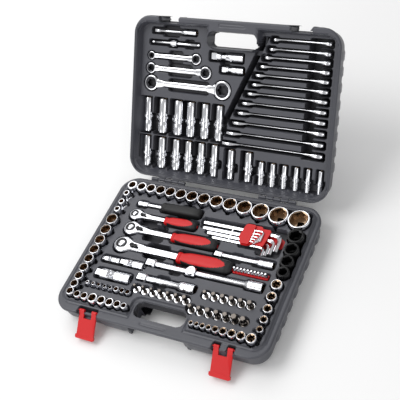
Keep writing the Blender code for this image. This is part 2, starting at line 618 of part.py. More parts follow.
def build_bars():
    ext = Body()
    extension(ext, -74.0, 170.0, -31.0, 3.0, 10.5, 20.0, DRIVE["half"])
    make("extension_half_long", ext, BASE, "chrome")
    place = Matrix.Translation(Vector((24.0, -31.0, 3.0))) @ ALONG_X
    head = Body().loops([lift(ngon(12, 9.6), -9.0), lift(ngon(12, 9.6), 9.0), lift(ngon(12, 5.9), 9.0),
                         lift(ngon(12, 5.9), -9.0)], ring=True, frame=place)
    make("slider_head", head, BASE, "chrome")
    for name, x0, x1, y, shaft, end, drive in (("extension_half_short", -77.0, 46.0, -65.5, 12.0, 19.0,
                                                12.7),
                                               ("extension_three_eighths", 51.0, 172.0, 19.5, 9.0, 14.0,
                                                9.5)):
        body = Body()
        extension(body, x0, x1, y, 3.0, shaft, end, drive)
        make(name, body, BASE, "chrome")
    for name, x0, x1, y, d, drive in (("joint_quarter", -171.0, -131.0, -42.0, 12.0, DRIVE["qtr"]),
                                      ("joint_three_eighths", -129.0, -77.0, -42.0, 16.0, DRIVE["mid"]),
                                      ("joint_half", -167.0, -89.0, -76.0, 22.0, DRIVE["half"])):
        n = x1 - x0
        place = Matrix.Translation(Vector((x0, y, 2.0))) @ ALONG_X
        body = Body().rod([(0.0, 0.0, square(drive)), (drive, 0.0, square(drive)), (drive, d / 2),
                           (n * 0.36, d / 2), (n * 0.44, d * 0.36), (n * 0.58, d * 0.36), (n * 0.64, d / 2),
                           (n, d / 2), (n, 0.0, square(drive + 0.2)), (n * 0.78, 0.0, square(drive + 0.2))],
                          12, place)
        make(name, body, BASE, "chrome")

    place = Matrix.Translation(Vector((-158.0, 99.0, 4.0))) @ ALONG_X
    shaft = Body().rod([(0.0, 5.8), (22.0, 5.8), (24.0, 3.6), (62.0, 3.6)], 12, place)
    make("spinner_shaft", shaft, BASE, "chrome")
    place = Matrix.Translation(Vector((-103.0, 99.0, 4.0))) @ ALONG_X
    grip = Body().loops([lift(ngon(12, r), z) for z,
                         r in ((0.0, 8.0), (6.0, 10.4), (14.0, 9.0), (22.0, 10.8), (78.0, 11.0),
                                                         (88.0, 9.0), (91.0, 6.0))], frame=place)
    obj = make("spinner_grip", grip, BASE, "grip_black")
    combine(obj, "DIFFERENCE", "bore", Body().prism(ngon(12, 3.9), -2.0, 8.0, place), BASE)


def hex_key(body, x0, y0, x1, y1, arm, af, h):
    """Bent key: long leg from the bend (x0, y0) to the tip (x1, y1), short leg to one side of the bend."""
    run = Vector((x1 - x0, y1 - y0))
    ang = math.atan2(run.y, run.x)
    place = Matrix.Translation(Vector((x0, y0, h))) @ Matrix.Rotation(ang, 4, "Z")
    r = af / math.sqrt(3.0)
    side = 1.0 if arm > 0 else -1.0
    bend = af * 1.6
    loops = []
    ring = ngon(6, r)

    def section(cx, cy, dx, dy):
        return [Vector((cx - dy * a, cy + dx * a, b)) for a, b in ring]

    loops.append(section(-0.0, side * abs(arm), 0.0, -side))
    for t in (0.0, 30.0, 60.0, 90.0):
        a = math.radians(t)
        loops.append(section(bend - bend * math.cos(a), side * (bend - bend * math.sin(a)),
                             math.sin(a), -side * math.cos(a)))
    loops.append(section(run.length, 0.0, 1.0, 0.0))
    body.loops(loops, frame=place)


def build_hex_keys():
    keys = Body()
    for (x0, y0), (x1, y1), arm, af in (((161.5, 88), (-2, 88), 36.0, 8.0), ((152.3, 75), (1, 75), 31.0, 7.0),
                                        ((144.6, 65), (14, 66), 25.5, 6.0), ((137.8, 56), (28, 57.5), 18.0, 5.0)):
        hex_key(keys, x0, y0, x1, y1, arm, af, -2.0)
    obj = make("hex_keys_long", keys, BASE, "chrome")
    web(obj, [(60.0, 62.0, 57.0, 88.0, -3.0, -1.4)])
    keys = Body()
    for px, py, arm, af in ((128.0, 86.0, 23.0, 2.8), (124.6, 78.5, 18.0, 2.4), (121.6, 71.5, 13.0, 2.1),
                            (118.9, 65.5, 10.5, 1.8), (116.6, 59.5, 9.0, 1.6)):
        hex_key(keys, px, py, 108.4, py, arm, af, 7.0)
    obj = make("hex_keys_short", keys, BASE, "chrome")
    web(obj, [(109.0, 110.2, 59.0, 86.5, 6.6, 7.4)])
    top = fillet([(88, 98.5, 4), (120, 98.5, 3), (123, 94, 2), (141, 94.5, 3), (136, 54.5, 3), (114, 56, 3),
                  (104, 50.5, 3), (91, 50.5, 4), (82, 67, 4)], 1)
    obj = make("hex_holder", Body().prism(top, 2.9, 4.9), BASE, "holder_red")
    block = fillet([(88.5, 97.5, 4), (108, 97.5, 2), (108, 52, 2), (91.5, 51.5, 4), (83, 67, 4)], 1)
    combine(obj, "UNION", "block", Body().prism(block, 4.0, 8.6), BASE)
    combine(obj, "UNION", "post", Body().box(133.0, 136.0, 80.2, 82.2, -7.2, 4.0), BASE)
    low = fillet([(130, 92, 2), (150, 93.5, 4), (170, 83, 4), (170, 65, 4), (163, 62, 4), (130, 58, 3)], 1)
    combine(obj, "UNION", "rear_plate", Body().prism(low, -7.8, -6.7), BASE)


# ---------------------------------------------------------------- tray contents of the lid
def lying_socket(body, u, s0, s1, head, foot, recess):
    """Deep socket lying along the lid with its top level with the tray deck."""
    place = LID @ Matrix.Translation(Vector((u, s0, LID_DECK - max(head, foot) / 2))) @ ALONG_Y
    n = s1 - s0
    prof = [(0.0, foot / 2), (n * 0.38, foot / 2), (n * 0.46, head / 2), (n, head / 2), (n, 0.0, recess),
            (n * 0.6, 0.0, recess)]
    body.rod(prof, 10, place)


def build_lid_tools():
    rows = Body()
    for u, d in zip((-200, -165, -128, -97, -64, -31), (24, 29, 28, 26, 26, 24)):
        lying_socket(rows, u + 3.0, 95.0, 167.0, d, d - 3.0, hexagon(d * 0.68))
    obj = make("deep_sockets_rear", rows, Matrix.Identity(4), "chrome")
    web(obj, [(-197.0, -28.0, 128.0, 131.0, -30.5, -28.5)], LID)
    rows = Body()
    for u, d, foot in zip((-199, -163, -128, -98, -68, -37), (25, 27, 26, 24, 24, 24),
                          (19, 20, 20, 22, 22, 22)):
        lying_socket(rows, u + 3.0, 20.0, 85.0, d, foot, hexagon(d * 0.68))
    for u, d in ((4.0, 22.0), (43.0, 25.0)):
        lying_socket(rows, u, 20.0, 80.0, d, d - 2.0, hexagon(d * 0.68))
    for k in range(6):
        lying_socket(rows, 73.0 + 25.2 * k, 18.0, 65.0, 18.0 - k, 15.0 - 0.6 * k, hexagon(11.5 - k))
    obj = make("deep_sockets_front", rows, Matrix.Identity(4), "chrome")
    web(obj, [(-196.0, 199.0, 44.0, 47.0, -26.5, -24.5)], LID)

    body = Body()
    extension(body, -186.0, -89.0, 308.0, LID_DECK - 6.0, 6.5, 12.0, DRIVE["qtr"], LID)
    make("extension_quarter", body, Matrix.Identity(4), "chrome")
    place = LID @ Matrix.Translation(Vector((-192.0, 284.0, LID_DECK - 8.0))) @ ALONG_X
    make("tbar", Body().rod([(0.0, 3.2), (1.0, 4.0), (110.0, 4.0), (111.0, 3.2)], 10, place),
         Matrix.Identity(4),
         "chrome")
    at = LID @ Matrix.Translation(Vector((-140.0, 284.0, LID_DECK - 8.0)))
    head = Body().loops([lift(ngon(12, 7.6), -6.5), lift(ngon(12, 7.6), 6.5), lift(ngon(12, 4.4), 6.5),
                         lift(ngon(12, 4.4), -6.5)], ring=True, frame=ALONG_X)
    make("tbar_slider", head, at, "chrome")
    for name, u0, u1, s, d, drive in (("adapter_large", -52.0, 19.0, 266.0, 20.0, 12.7),
                                      ("adapter_small", -27.0, 21.0, 241.0, 16.0, 9.5)):
        body = Body()
        n = u1 - u0
        place = LID @ Matrix.Translation(Vector((u0, s, LID_DECK - d / 2))) @ ALONG_X
        body.rod([(0.0, 0.0, square(drive)), (drive, 0.0, square(drive)), (drive, drive * 0.7),
                  (n * 0.45, drive * 0.7),
                  (n * 0.52, d / 2), (n, d / 2), (n, 0.0, square(drive + 0.2)),
                  (n * 0.75, 0.0, square(drive + 0.2))], 12, place)
        make(name, body, Matrix.Identity(4), "chrome")
    gear_wrench("small", -190.0, -85.0, 256.0, 8.5, 11.0, 7.0)
    gear_wrench("medium", -190.0, -62.0, 230.0, 11.0, 13.0, 8.0)
    gear_wrench("large", -188.0, -22.0, 199.0, 16.0, 19.0, 9.0)
    build_wrenches()


def build_wrenches():
    sizes = range(8, 20)
    lefts = (79, 72, 63, 54, 45, 38, 29, 19, 11, 2, -9, -17)
    at_s = (308, 289, 272, 254, 236, 217, 198, 178, 157.5, 136.5, 114.5, 92.5)
    body = Body()
    rings = Body()
    for size, u0, s in zip(sizes, lefts, at_s):
        jaw = min(30.0, 2.15 * size)
        eye = 1.55 * size
        mid = LID_DECK - jaw / 2
        bar = 0.36 * size + 1.0
        thick = 4.5 + 0.22 * size
        u1 = 200.0
        ring = [(u0 + eye / 2 + eye / 2 * math.cos(math.radians(a)), eye / 2 * math.sin(math.radians(a)))
                for a in range(45, 316, 45)]
        neck = u1 - jaw * 1.15
        outline = ring + [(u0 + eye * 1.25, -bar), (neck, -bar), (u1 - jaw * 0.72, -jaw / 2),
                          (u1, -jaw * 0.42),
                          (u1 - 1.0, -size / 2), (u1 - size * 0.95, -size / 2), (u1 - size * 0.95, size / 2),
                          (u1 - 1.0, size / 2), (u1, jaw * 0.42), (u1 - jaw * 0.72, jaw / 2), (neck, bar),
                          (u0 + eye * 1.25, bar)]
        at = Matrix.Translation(Vector((0, s, mid))) @ Matrix(((1, 0, 0, 0), (0, 0, 1, 0), (0, 1, 0, 0),
                                                               (0, 0, 0, 1)))
        body.prism(outline, -thick / 2, thick / 2, at)
        rings.prism(ngon(8, size * 0.55, u0 + eye / 2, 0.0), -thick, thick, at)
    obj = make("combination_wrenches", body, LID, "chrome")
    combine(obj, "DIFFERENCE", "ring_holes", rings, LID)
    web(obj, [(118.0, 121.0, 92.0, 308.5, -28.8, -26.6)], LID)


BASE_TROUGHS = (
    (-205, 84, 113, 148.5, -24.0), (83, 208.5, 101, 148.5, -24.0), (176, 211, -9, 104, -24.0),
    (184, 210.5, -146, -11, -14.0), (65, 186, -146.5, -124.5, -14.0),
    (-208, -180, -146.5, 125, -14.0), (-181, -61.9, -146.5, -125.5, -14.0), (-177, -69, -113, -97.5, -13.5),
    (-78.5, 49.5, -99.5, -80.5, -21.5), (45, 171, -113.5, -94.5, -21.5), (61.5, 170.5, -79, -60.5, -21.5),
    (-176, -10, 87, 114, -8.0), (-168, -8, 55, 84, -12.0), (-164, 51, 19, 53.5, -18.5), (-166, 100, -24, 15, -25.5),
    (-173, -72, -52, -32, -9.0), (-169, -87, -88.5, -63.5, -9.5), (-79, 172, -42.5, -19.5, -8.0),
    (-79, 48, -76, -55, -7.5), (45, 173.5, 11, 28, -6.0), (-6, 172, 36.5, 96, -8.0), (86, 162, 94, 100, -8.0),
    (99, 173, -13, 0, -8.5), )
LID_TROUGHS = (
    (rect(-204, -68, 272, 317), -33.0), (rect(-211, -2, 178, 270), -28.0), (rect(-60, 30, 228, 276), -38.0),
    ([(-20, 82), (204, 82), (204, 317), (77, 317), (65, 278), (52, 277), (-20, 110)], -48.5),
    (rect(-214, -12, 91, 172), -47.0), (rect(-214, -17, 16, 87), -46.0), (rect(-18, 60, 17, 83), -43.0),
    (rect(59, 210, 15, 68), -37.0))


def main():
    for obj in list(bpy.data.objects):
        bpy.data.objects.remove(obj, do_unlink=True)
    build_base()
    build_lid()
    build_fittings()
    build_socket_rows()
    build_bits()
    build_bars()
    build_hex_keys()
    ratchet("quarter", 70.0, 3.0, -164.0, 42.0, 26.0, 14.0, -152.0, -135.0, 9.0, -83.0, -10.0, 22.0, 18.0,
            6.35)
    ratchet("three_eighths", 36.5, 1.5, -160.0, 50.0, 32.0, 17.0, -145.0, -128.0, 11.0, -51.0, 49.0, 26.0,
            22.0, 9.5)
    ratchet("half", -4.0, -0.5, -162.0, 61.0, 37.0, 21.0, -145.0, -121.0, 15.0, -20.0, 98.0, 31.0, 25.0,
            12.7)
    build_lid_tools()


main()
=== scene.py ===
"""Looks for a socket wrench set in its case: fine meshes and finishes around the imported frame."""
import json
import math

import bpy
import numpy as np
from mathutils import Matrix, Vector


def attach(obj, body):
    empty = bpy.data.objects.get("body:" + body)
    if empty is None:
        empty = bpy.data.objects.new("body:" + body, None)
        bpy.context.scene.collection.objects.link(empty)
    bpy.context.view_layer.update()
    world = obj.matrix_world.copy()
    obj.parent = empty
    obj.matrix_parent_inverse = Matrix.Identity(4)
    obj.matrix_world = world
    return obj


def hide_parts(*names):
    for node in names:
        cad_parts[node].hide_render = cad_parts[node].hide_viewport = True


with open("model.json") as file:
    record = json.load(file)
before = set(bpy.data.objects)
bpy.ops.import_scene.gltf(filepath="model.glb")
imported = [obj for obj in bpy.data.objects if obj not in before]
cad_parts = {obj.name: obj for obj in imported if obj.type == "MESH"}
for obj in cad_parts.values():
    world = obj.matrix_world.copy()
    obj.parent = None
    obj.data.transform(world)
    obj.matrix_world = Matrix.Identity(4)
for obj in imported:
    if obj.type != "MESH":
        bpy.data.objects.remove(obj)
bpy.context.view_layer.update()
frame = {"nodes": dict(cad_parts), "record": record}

bl_info = {
    "name": "Socket set in a case",
    "version": (1, 0, 0),
    "blender": (4, 5, 0),
    "location": "View3D > Sidebar > Tool case",
    "description": "Builds the visible surfaces of an open tool case and its tools",
    "category": "Add Mesh",
}

T = math.radians(130.0)
RIM = 46.0
BASE = Matrix.Translation(Vector((0, 0, RIM)))
LID = Matrix(((1, 0, 0, 0), (0, -math.cos(T), -math.sin(T), 171.0), (0, math.sin(T), -math.cos(T), RIM),
              (0, 0, 0, 1)))
MID = LID @ Matrix.Translation(Vector((0, 171.0, 0)))
ALONG_X = Matrix(((0, 0, 1, 0), (1, 0, 0, 0), (0, 1, 0, 0), (0, 0, 0, 1)))
ALONG_Y = Matrix(((1, 0, 0, 0), (0, 0, 1, 0), (0, -1, 0, 0), (0, 0, 0, 1)))
TOP = 14.5
DECK = 4.5
LID_DECK = -17.0


def at(x, y, z):
    return Matrix.Translation(Vector((x, y, z)))


# ---------------------------------------------------------------- meshes
class Shape:
    """Vertex and face arrays, in millimetres, gathered into one mesh."""

    def __init__(self):
        self.verts, self.faces, self.finish, self.count = [], [], [], 0

    def add(self, verts, faces, finish=0, place=None):
        v = np.asarray(verts, float).reshape(-1, 3)
        if place is not None:
            m = np.array(place)
            v = v @ m[:3, :3].T + m[:3, 3]
        for f, tag in zip(faces, finish if isinstance(finish, (list, tuple)) else [finish] * len(faces)):
            f = np.asarray(f, int)
            if len(f):
                self.faces.append(f + self.count)
                self.finish.append(np.broadcast_to(np.asarray(tag), (len(f),)))
        self.verts.append(v)
        self.count += len(v)
        return self

    def mesh(self, name):
        mesh = bpy.data.meshes.new(name)
        sizes = np.concatenate([np.full(len(f), f.shape[1]) for f in self.faces])
        loops = np.concatenate([f.ravel() for f in self.faces])
        co = np.concatenate(self.verts) * 0.001
        mesh.vertices.add(len(co))
        mesh.vertices.foreach_set("co", co.astype(np.float32).ravel())
        mesh.loops.add(len(loops))
        mesh.loops.foreach_set("vertex_index", loops.astype(np.int32))
        mesh.polygons.add(len(sizes))
        mesh.polygons.foreach_set("loop_start", (np.cumsum(sizes) - sizes).astype(np.int32))
        mesh.polygons.foreach_set("material_index", np.concatenate(self.finish).astype(np.int32))
        mesh.update(calc_edges=True)
        mesh.validate()
        return mesh


def quads(rows, cols, wrap=False):
    """Faces of a rows by cols grid; wrap joins the last column to the first."""
    c = np.arange(cols if wrap else cols - 1)
    r = np.arange(rows - 1)[:, None] * cols
    n = (c + 1) % cols
    return np.stack([r + c, r + n, r + n + cols, r + c + cols], -1).reshape(-1, 4)


def radius(kind, a):
    """Polar radius of a unit outline: circle, hexagon or square of half flats 1, or a six-lobed star."""
    if kind == "h":
        return 1.0 / np.cos((a + math.pi / 6) % (math.pi / 3) - math.pi / 6)
    if kind == "s":
        return 1.0 / np.maximum(np.abs(np.cos(a)), np.abs(np.sin(a)))
    if kind == "t":
        return 0.88 + 0.12 * np.cos(6 * a)
    return np.ones_like(a)


def turned(stations, n=36, ring=False, place=None, shape=None, inner=None):
    """Stack of outlines (z, half width, kind) along local z; ring closes the last onto the first, otherwise
    both ends close on a centre point.  Stations from index inner on take finish 1."""
    a = np.arange(n) * 2 * math.pi / n
    rows = [np.stack([s[1] * radius(s[2] if len(s) > 2 else "c", a) * np.cos(a),
                      s[1] * radius(s[2] if len(s) > 2 else "c", a) * np.sin(a), np.full(n, s[0])], -1)
            for s in stations]
    count = len(rows)
    v = np.concatenate(rows)
    q = quads(count, n, True)
    tag = np.repeat((np.arange(count - 1) >= (inner if inner is not None else 999)).astype(int), n)
    shape = shape or Shape()
    c = np.arange(n)
    d = (c + 1) % n
    last = (count - 1) * n
    if ring:
        close = np.stack([last + c, last + d, d, c], -1)
        return shape.add(v, [q, close], [tag, 1 if inner is not None else 0], place)
    v = np.concatenate([v, [[0, 0, stations[0][0]], [0, 0, stations[-1][0]]]])
    low = np.stack([d, c, np.full(n, len(v) - 2)], -1)
    high = np.stack([last + c, last + d, np.full(n, len(v) - 1)], -1)
    return shape.add(v, [q, low, high], [tag, 0, 1 if inner is not None else 0], place)


def swept(stations, n=28, power=2.6, place=None, shape=None, tags=None):
    """Bar along x from (x, y, z, half width, half height): superellipse sections, |y/a|^p + |z/b|^p = 1."""
    s = np.array(stations, float)
    a = np.arange(n) * 2 * math.pi / n
    cy = np.sign(np.cos(a)) * np.abs(np.cos(a)) ** (2 / power)
    cz = np.sign(np.sin(a)) * np.abs(np.sin(a)) ** (2 / power)
    v = np.stack([np.repeat(s[:, :1], n, 1), s[:, 1:2] + s[:, 3:4] * cy, s[:, 2:3] + s[:, 4:5] * cz], -1)
    q = quads(len(s), n, True)
    v = np.concatenate([v.reshape(-1, 3), s[:1, :3], s[-1:, :3]])
    c = np.arange(n)
    d = (c + 1) % n
    last = (len(s) - 1) * n
    low = np.stack([d, c, np.full(n, len(v) - 2)], -1)
    high = np.stack([last + c, last + d, np.full(n, len(v) - 1)], -1)
    return (shape or Shape()).add(v, [q, low, high], [0 if tags is None else tags(s, a), 0, 0], place)


def smooth_stations(stations, step):
    """Stations resampled along x with straight lines in between, so that a finish can change part-way."""
    s = np.array(stations, float)
    x = np.unique(np.concatenate([np.arange(s[0, 0], s[-1, 0], step), s[:, 0]]))
    return np.stack([x] + [np.interp(x, s[:, 0], s[:, k]) for k in range(1, s.shape[1])], -1)


def piece(name, shape, place, body, materials, replaces=(), sharp=35.0, bevel=0.0):
    """Makes a finished object with its place in its mesh."""
    mesh = shape.mesh(name)
    m = place.copy()
    m.translation = m.translation * 0.001
    mesh.transform(m)
    for mat in materials:
        mesh.materials.append(mat)
    mesh.shade_smooth()
    mesh.set_sharp_from_angle(angle=math.radians(sharp))
    obj = bpy.data.objects.new(name, mesh)
    bpy.context.scene.collection.objects.link(obj)
    if bevel:
        add_bevel(obj, bevel)
    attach(obj, body)
    if replaces:
        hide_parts(*replaces)
    return obj


def add_bevel(obj, width):
    mod = obj.modifiers.new("edge_radius", "BEVEL")
    mod.width = width
    mod.segments = 2
    mod.limit_method = "ANGLE"
    mod.angle_limit = math.radians(40)
    return obj


# ---------------------------------------------------------------- finishes
def linear(hex_colour):
    """sRGB hex to linear: c / 12.92 below 0.04045, otherwise ((c + 0.055) / 1.055) ^ 2.4."""
    c = np.array([int(hex_colour[k:k + 2], 16) / 255 for k in (1, 3, 5)])
    return tuple(np.where(c <= 0.04045, c / 12.92, ((c + 0.055) / 1.055) ** 2.4)) + (1.0,)


def node(tree, kind, inputs=None, **settings):
    """Adds a node, sets its properties and plugs or fills its inputs."""
    made = tree.nodes.new(kind)
    for key, value in settings.items():
        setattr(made, key, value)
    for key, value in (inputs or {}).items():
        if isinstance(value, bpy.types.NodeSocket):
            tree.links.new(value, made.inputs[key])
        else:
            made.inputs[key].default_value = value
    return made


def finish(name, colour, metallic, rough, spread=0.06, mottle=0.12, grain_mm=1.0, bump=0.15, bump_mm=0.05,
           coat=0.0, tint=None):
    """Principled finish whose colour and roughness wander over a slow noise, with a fine surface grain."""
    found = bpy.data.materials.get(name)
    if found:
        return found
    mat = bpy.data.materials.new(name)
    mat.use_nodes = True
    tree = mat.node_tree
    shader = tree.nodes["Principled BSDF"]
    where = node(tree, "ShaderNodeTexCoord").outputs["Object"]
    slow = node(tree, "ShaderNodeTexNoise", {"Vector": where, "Scale": 28.0, "Detail": 3.0})
    fine = node(tree, "ShaderNodeTexNoise", {"Vector": where, "Scale": 1000.0 / grain_mm, "Detail": 2.0})
    base = np.array(linear(colour))
    dark = tuple(base[:3] * (1 - mottle)) + (1.0,)
    light = tuple(np.minimum(np.array(linear(tint))[:3] if tint else base[:3] * (1 + mottle), 1.0)) + (1.0,)
    mix = node(tree, "ShaderNodeMix", {0: slow.outputs["Fac"], 6: dark, 7: light}, data_type="RGBA")
    tree.links.new(mix.outputs[2], shader.inputs["Base Color"])
    level = node(tree, "ShaderNodeMapRange", {"Value": fine.outputs["Fac"],
                                              "To Min": max(0.02, rough - spread),
                                             "To Max": rough + spread})
    tree.links.new(level.outputs["Result"], shader.inputs["Roughness"])
    relief = node(tree, "ShaderNodeBump", {"Strength": bump, "Distance": bump_mm * 0.001,
                                          "Height": fine.outputs["Fac"]})
    tree.links.new(relief.outputs["Normal"], shader.inputs["Normal"])
    shader.inputs["Metallic"].default_value = metallic
    shader.inputs["Coat Weight"].default_value = coat
    return mat


def finishes():
    c = bpy.context.scene.tool_case_colours
    return {
        # blow-moulded polyethylene: grey, faintly mottled, satin with an etched grain
        "case": finish("polyethylene_case", c.case, 0.0, 0.40, 0.08, 0.10, 0.9, 0.25, 0.08),
        # the same plastic down in the troughs: painted shade, its colour darkened to stand in for the shade
        # that falls in the troughs, with a duller, rougher satin
        "case_trough_shade": finish("polyethylene_painted_trough_shade", c.recess_shade, 0.0, 0.55, 0.08, 0.15, 0.9, 0.25, 0.08),
        # moulded polypropylene in signal red: smooth with a soft sheen
        "latch": finish("polypropylene_latch", c.red, 0.0, 0.45, 0.05, 0.05, 1.5, 0.05, 0.03),
        # nickel-chrome plate over polished steel: mirror with faint waviness
        "chrome": finish("chrome_plate", c.chrome, 1.0, 0.14, 0.02, 0.03, 6.0, 0.0, 0.01),
        # plated bore seen in shade: warmer and duller than the outside
        "bore": finish("broached_bore", c.bore, 1.0, 0.24, 0.08, 0.25, 1.2, 0.15, 0.03),
        # phosphated chrome-molybdenum steel: almost black, oily gloss
        "impact": finish("black_phosphate", "#121214", 0.5, 0.26, 0.07, 0.2, 1.0, 0.2, 0.03),
        "grip_red": finish("grip_shell_red", c.red, 0.0, 0.48, 0.05, 0.05, 1.5, 0.08, 0.03),
        # thermoplastic rubber: black, matt, fine leather-like grain
        "grip_black": finish("thermoplastic_rubber", "#121214", 0.0, 0.55, 0.08, 0.15, 0.8, 0.3, 0.06),
        "steel_dark": finish("blackened_steel", "#3a3a3e", 1.0, 0.32, 0.08, 0.15, 1.0, 0.1, 0.02),
        # hardened bit tips: manganese phosphate, brownish grey with a bright broken sheen
        "tip": finish("phosphated_tip", "#716b66", 1.0, 0.22, 0.08, 0.2, 1.0, 0.1, 0.02),
        "holder_red": finish("polypropylene_holder", c.red, 0.0, 0.48, 0.05, 0.05, 1.5, 0.06, 0.03),
    }


# ---------------------------------------------------------------- case surfaces
def box_distance(x, y, x0, x1, y0, y1, r):
    """Signed distance to a rectangle with rounded corners, negative inside."""
    qx = np.abs(x - (x0 + x1) / 2) - (x1 - x0) / 2 + r
    qy = np.abs(y - (y0 + y1) / 2) - (y1 - y0) / 2 + r
    return np.hypot(np.maximum(qx, 0), np.maximum(qy, 0)) + np.minimum(np.maximum(qx, qy), 0) - r


def soft(d, width):
    """0 well outside, 1 well inside, a smooth step over width."""
    t = np.clip(0.5 - d / width, 0, 1)
    return t * t * (3 - 2 * t)


def sink(z, d, floor, width=1.6):
    """Lowers z to floor inside distance d."""
    k = soft(d, width)
    return np.minimum(z, z * (1 - k) + floor * k)


def tray_distance(x, y, grow, side):
    """Edge of the inner tray, running round the hand hole on the latch side."""
    if side > 0:
        y = -y
    d = box_distance(x, y, -212 - grow, 212 + grow, -148 - grow, 155 + grow, 20 + grow)
    bay = box_distance(x, y, -61 + grow, 61 - grow, -200, -106.5 - grow, 15)
    return np.maximum(d, -bay)


def outline_grid(cols, rows, half_w, half_d, r):
    """Points filling a rounded rectangle: rows run across and shorten at the corners."""
    v = np.linspace(-1, 1, rows)
    y = half_d * v[:, None]
    past = np.maximum(np.abs(y) - (half_d - r), 0)
    w = half_w - r + np.sqrt(np.maximum(r * r - past * past, 0))
    return w * np.linspace(-1, 1, cols)[None, :], np.repeat(y, cols, 1)


def tray_shape(side, height, notch_depth):
    """Height field over the whole half with a rolled lip, open at the hand hole.
    z = height(x, y), lowered at the rim by the lip radius, cut where the latches sit."""
    x, y = outline_grid(330, 262, 224.5, 167.25, 38.0)
    rim = box_distance(x, y, -224.5, 224.5, -167.25, 167.25, 38.0)
    z = height(x, y)
    edge = np.clip((rim + 3.0) / 3.0, 0, 1)
    z = z - 3.0 * (1 - np.sqrt(1 - edge * edge * 0.999))
    yy = y * -side
    notch = np.full(x.shape, 99.0)
    for u in (-143.0, 143.0):
        notch = np.minimum(notch, box_distance(x, yy, u - 21.5, u + 21.5, -200, -167.25 + notch_depth, 3))
        z = sink(z, notch, -15.0 if side < 0 else -38.0, 1.2)
        if side < 0:
            z = np.maximum(z, np.where(box_distance(x, yy, u - 7, u + 7, -165, -150, 1) < 0, -1.5, -99))
    hole = box_distance(x, yy, -53, 53, -144.5, -112.5, 13)
    z = sink(z, hole + 0.5, -13.2 if side < 0 else -26.2, 1.4)
    v = np.stack([x, y, z], -1)
    rows, cols = x.shape
    q = quads(rows, cols)
    gone = hole.ravel() < -1.6
    if side > 0:
        gone |= notch.ravel() < -1.6
    q = q[~np.all(gone[q], axis=1)]
    level = 0.0 if side < 0 else LID_DECK
    # painted shade: faces sunk well below the deck, away from the rim, take material 1, the case colour
    # darkened to stand in for the shade in the troughs
    deep = (z.ravel()[q].mean(axis=1) < level - 3.5) & (rim.ravel()[q].mean(axis=1) < -14)
    shape = Shape().add(v, [q], [deep.astype(int)])
    path = np.concatenate([v[0, :-1], v[:-1, -1], v[-1, :0:-1], v[:0:-1, 0]])
    low = path.copy()
    low[:, 2] = np.minimum(-6.5, path[:, 2] - 0.1)
    inner = low.copy()
    inner[:, :2] *= [216.0 / 224.5, 159.0 / 167.25]
    wall = np.concatenate([inner, low, path])
    q = quads(3, len(path), True)
    shape.add(wall, [q[~np.all((wall[:, 2] < -20)[q], axis=1)]])
    return shape


def shell_path(count):
    """Unit perimeter of a rounded rectangle as corner centre plus direction."""
    half_w, half_d, r = 220.5, 163.5, 34.0
    pts, nrm = [], []
    for cx, cy, a in ((1, -1, -90), (1, 1, 0), (-1, 1, 90), (-1, -1, 180)):
        t = np.radians(a + np.linspace(0, 90, 13))
        c = np.array([cx * (half_w - r), cy * (half_d - r)])
        d = np.stack([np.cos(t), np.sin(t)], -1)
        pts.append(c + r * d)
        nrm.append(d)
    pts, nrm = np.concatenate(pts), np.concatenate(nrm)
    closed = np.vstack([pts, pts[:1]])
    s = np.concatenate([[0], np.cumsum(np.linalg.norm(np.diff(closed, axis=0), axis=1))])
    k = np.linspace(0, s[-1], count, endpoint=False)
    nn = np.vstack([nrm, nrm[:1]])
    p = np.stack([np.interp(k, s, closed[:, j]) for j in (0, 1)], -1)
    m = np.stack([np.interp(k, s, nn[:, j]) for j in (0, 1)], -1)
    return p, m / np.linalg.norm(m, axis=1, keepdims=True)


def ribbing(p, m, z, depth, side):
    """Outward swelling of the wall in mm: upright ribs on the short sides, low bulges on the latch side."""
    low = np.clip((-z - 7.0) / (depth - 12.0), 0, 1)
    ribs = np.zeros(len(p))
    for y in (-98.0, -68.0, -37.0, -7.0, 23.0, 56.0, 87.0, 117.0):
        ribs = np.maximum(ribs, soft(np.abs(p[:, 1] - y) - 9.0, 5.0))
    ribs = ribs * (np.abs(m[:, 0]) > 0.8) * 3.4
    bulge = soft(np.abs(np.abs(p[:, 0]) - 92.0) - 24.0, 10.0) * (m[:, 1] * side > 0.8) * 3.0
    return (ribs + bulge) * np.sin(math.pi * np.clip(low * 1.15, 0, 1)) ** 0.5


def shell_shape(depth, floor, side):
    """Tub under the tray: wall rings drawn in towards the underside by a rounded edge, and an inner skin."""
    p, m = shell_path(640)
    rings = []
    for z, inset in ((-5.5, 0.5), (-8, 0.3), (-12, 0.5), (-17, 0.8), (-24, 1.2), (-depth + 14, 1.8),
                     (-depth + 9, 4.0),
                     (-depth + 5, 8.0), (-depth + 2, 12.0), (-depth, 17.0)):
        q = p - m * (inset - ribbing(p, m, z, depth, side)[:, None])
        rings.append(np.column_stack([q, np.full(len(p), z)]))
    for z, inset in ((floor, 18.5), (-5.5, 4.5)):
        rings.append(np.column_stack([p - m * inset, np.full(len(p), z)]))
    n = len(p)
    v = np.concatenate(rings)
    count = len(rings)
    outer = quads(count - 2, n, True)
    inner = quads(2, n, True) + (count - 2) * n
    c = np.arange(n)
    lip = np.stack([(count - 1) * n + c, (count - 1) * n + (c + 1) % n, (c + 1) % n, c], -1)
    bottom = ((count - 3) * n + c)[None, :]
    base = ((count - 2) * n + c[::-1])[None, :]
    return Shape().add(v, [outer[:, ::-1], inner[:, ::-1], lip[:, ::-1], bottom, base])


def box_shape(x0, x1, y0, y1, z0, z1):
    v = np.array([[x, y, z] for z in (z0, z1) for y in (y0, y1) for x in (x0, x1)])
    return Shape().add(v, [np.array([[0, 2, 3, 1], [4, 5, 7, 6], [0, 1, 5, 4], [2, 6, 7, 3], [0, 4, 6, 2],
                                     [1, 3, 7, 5]])])


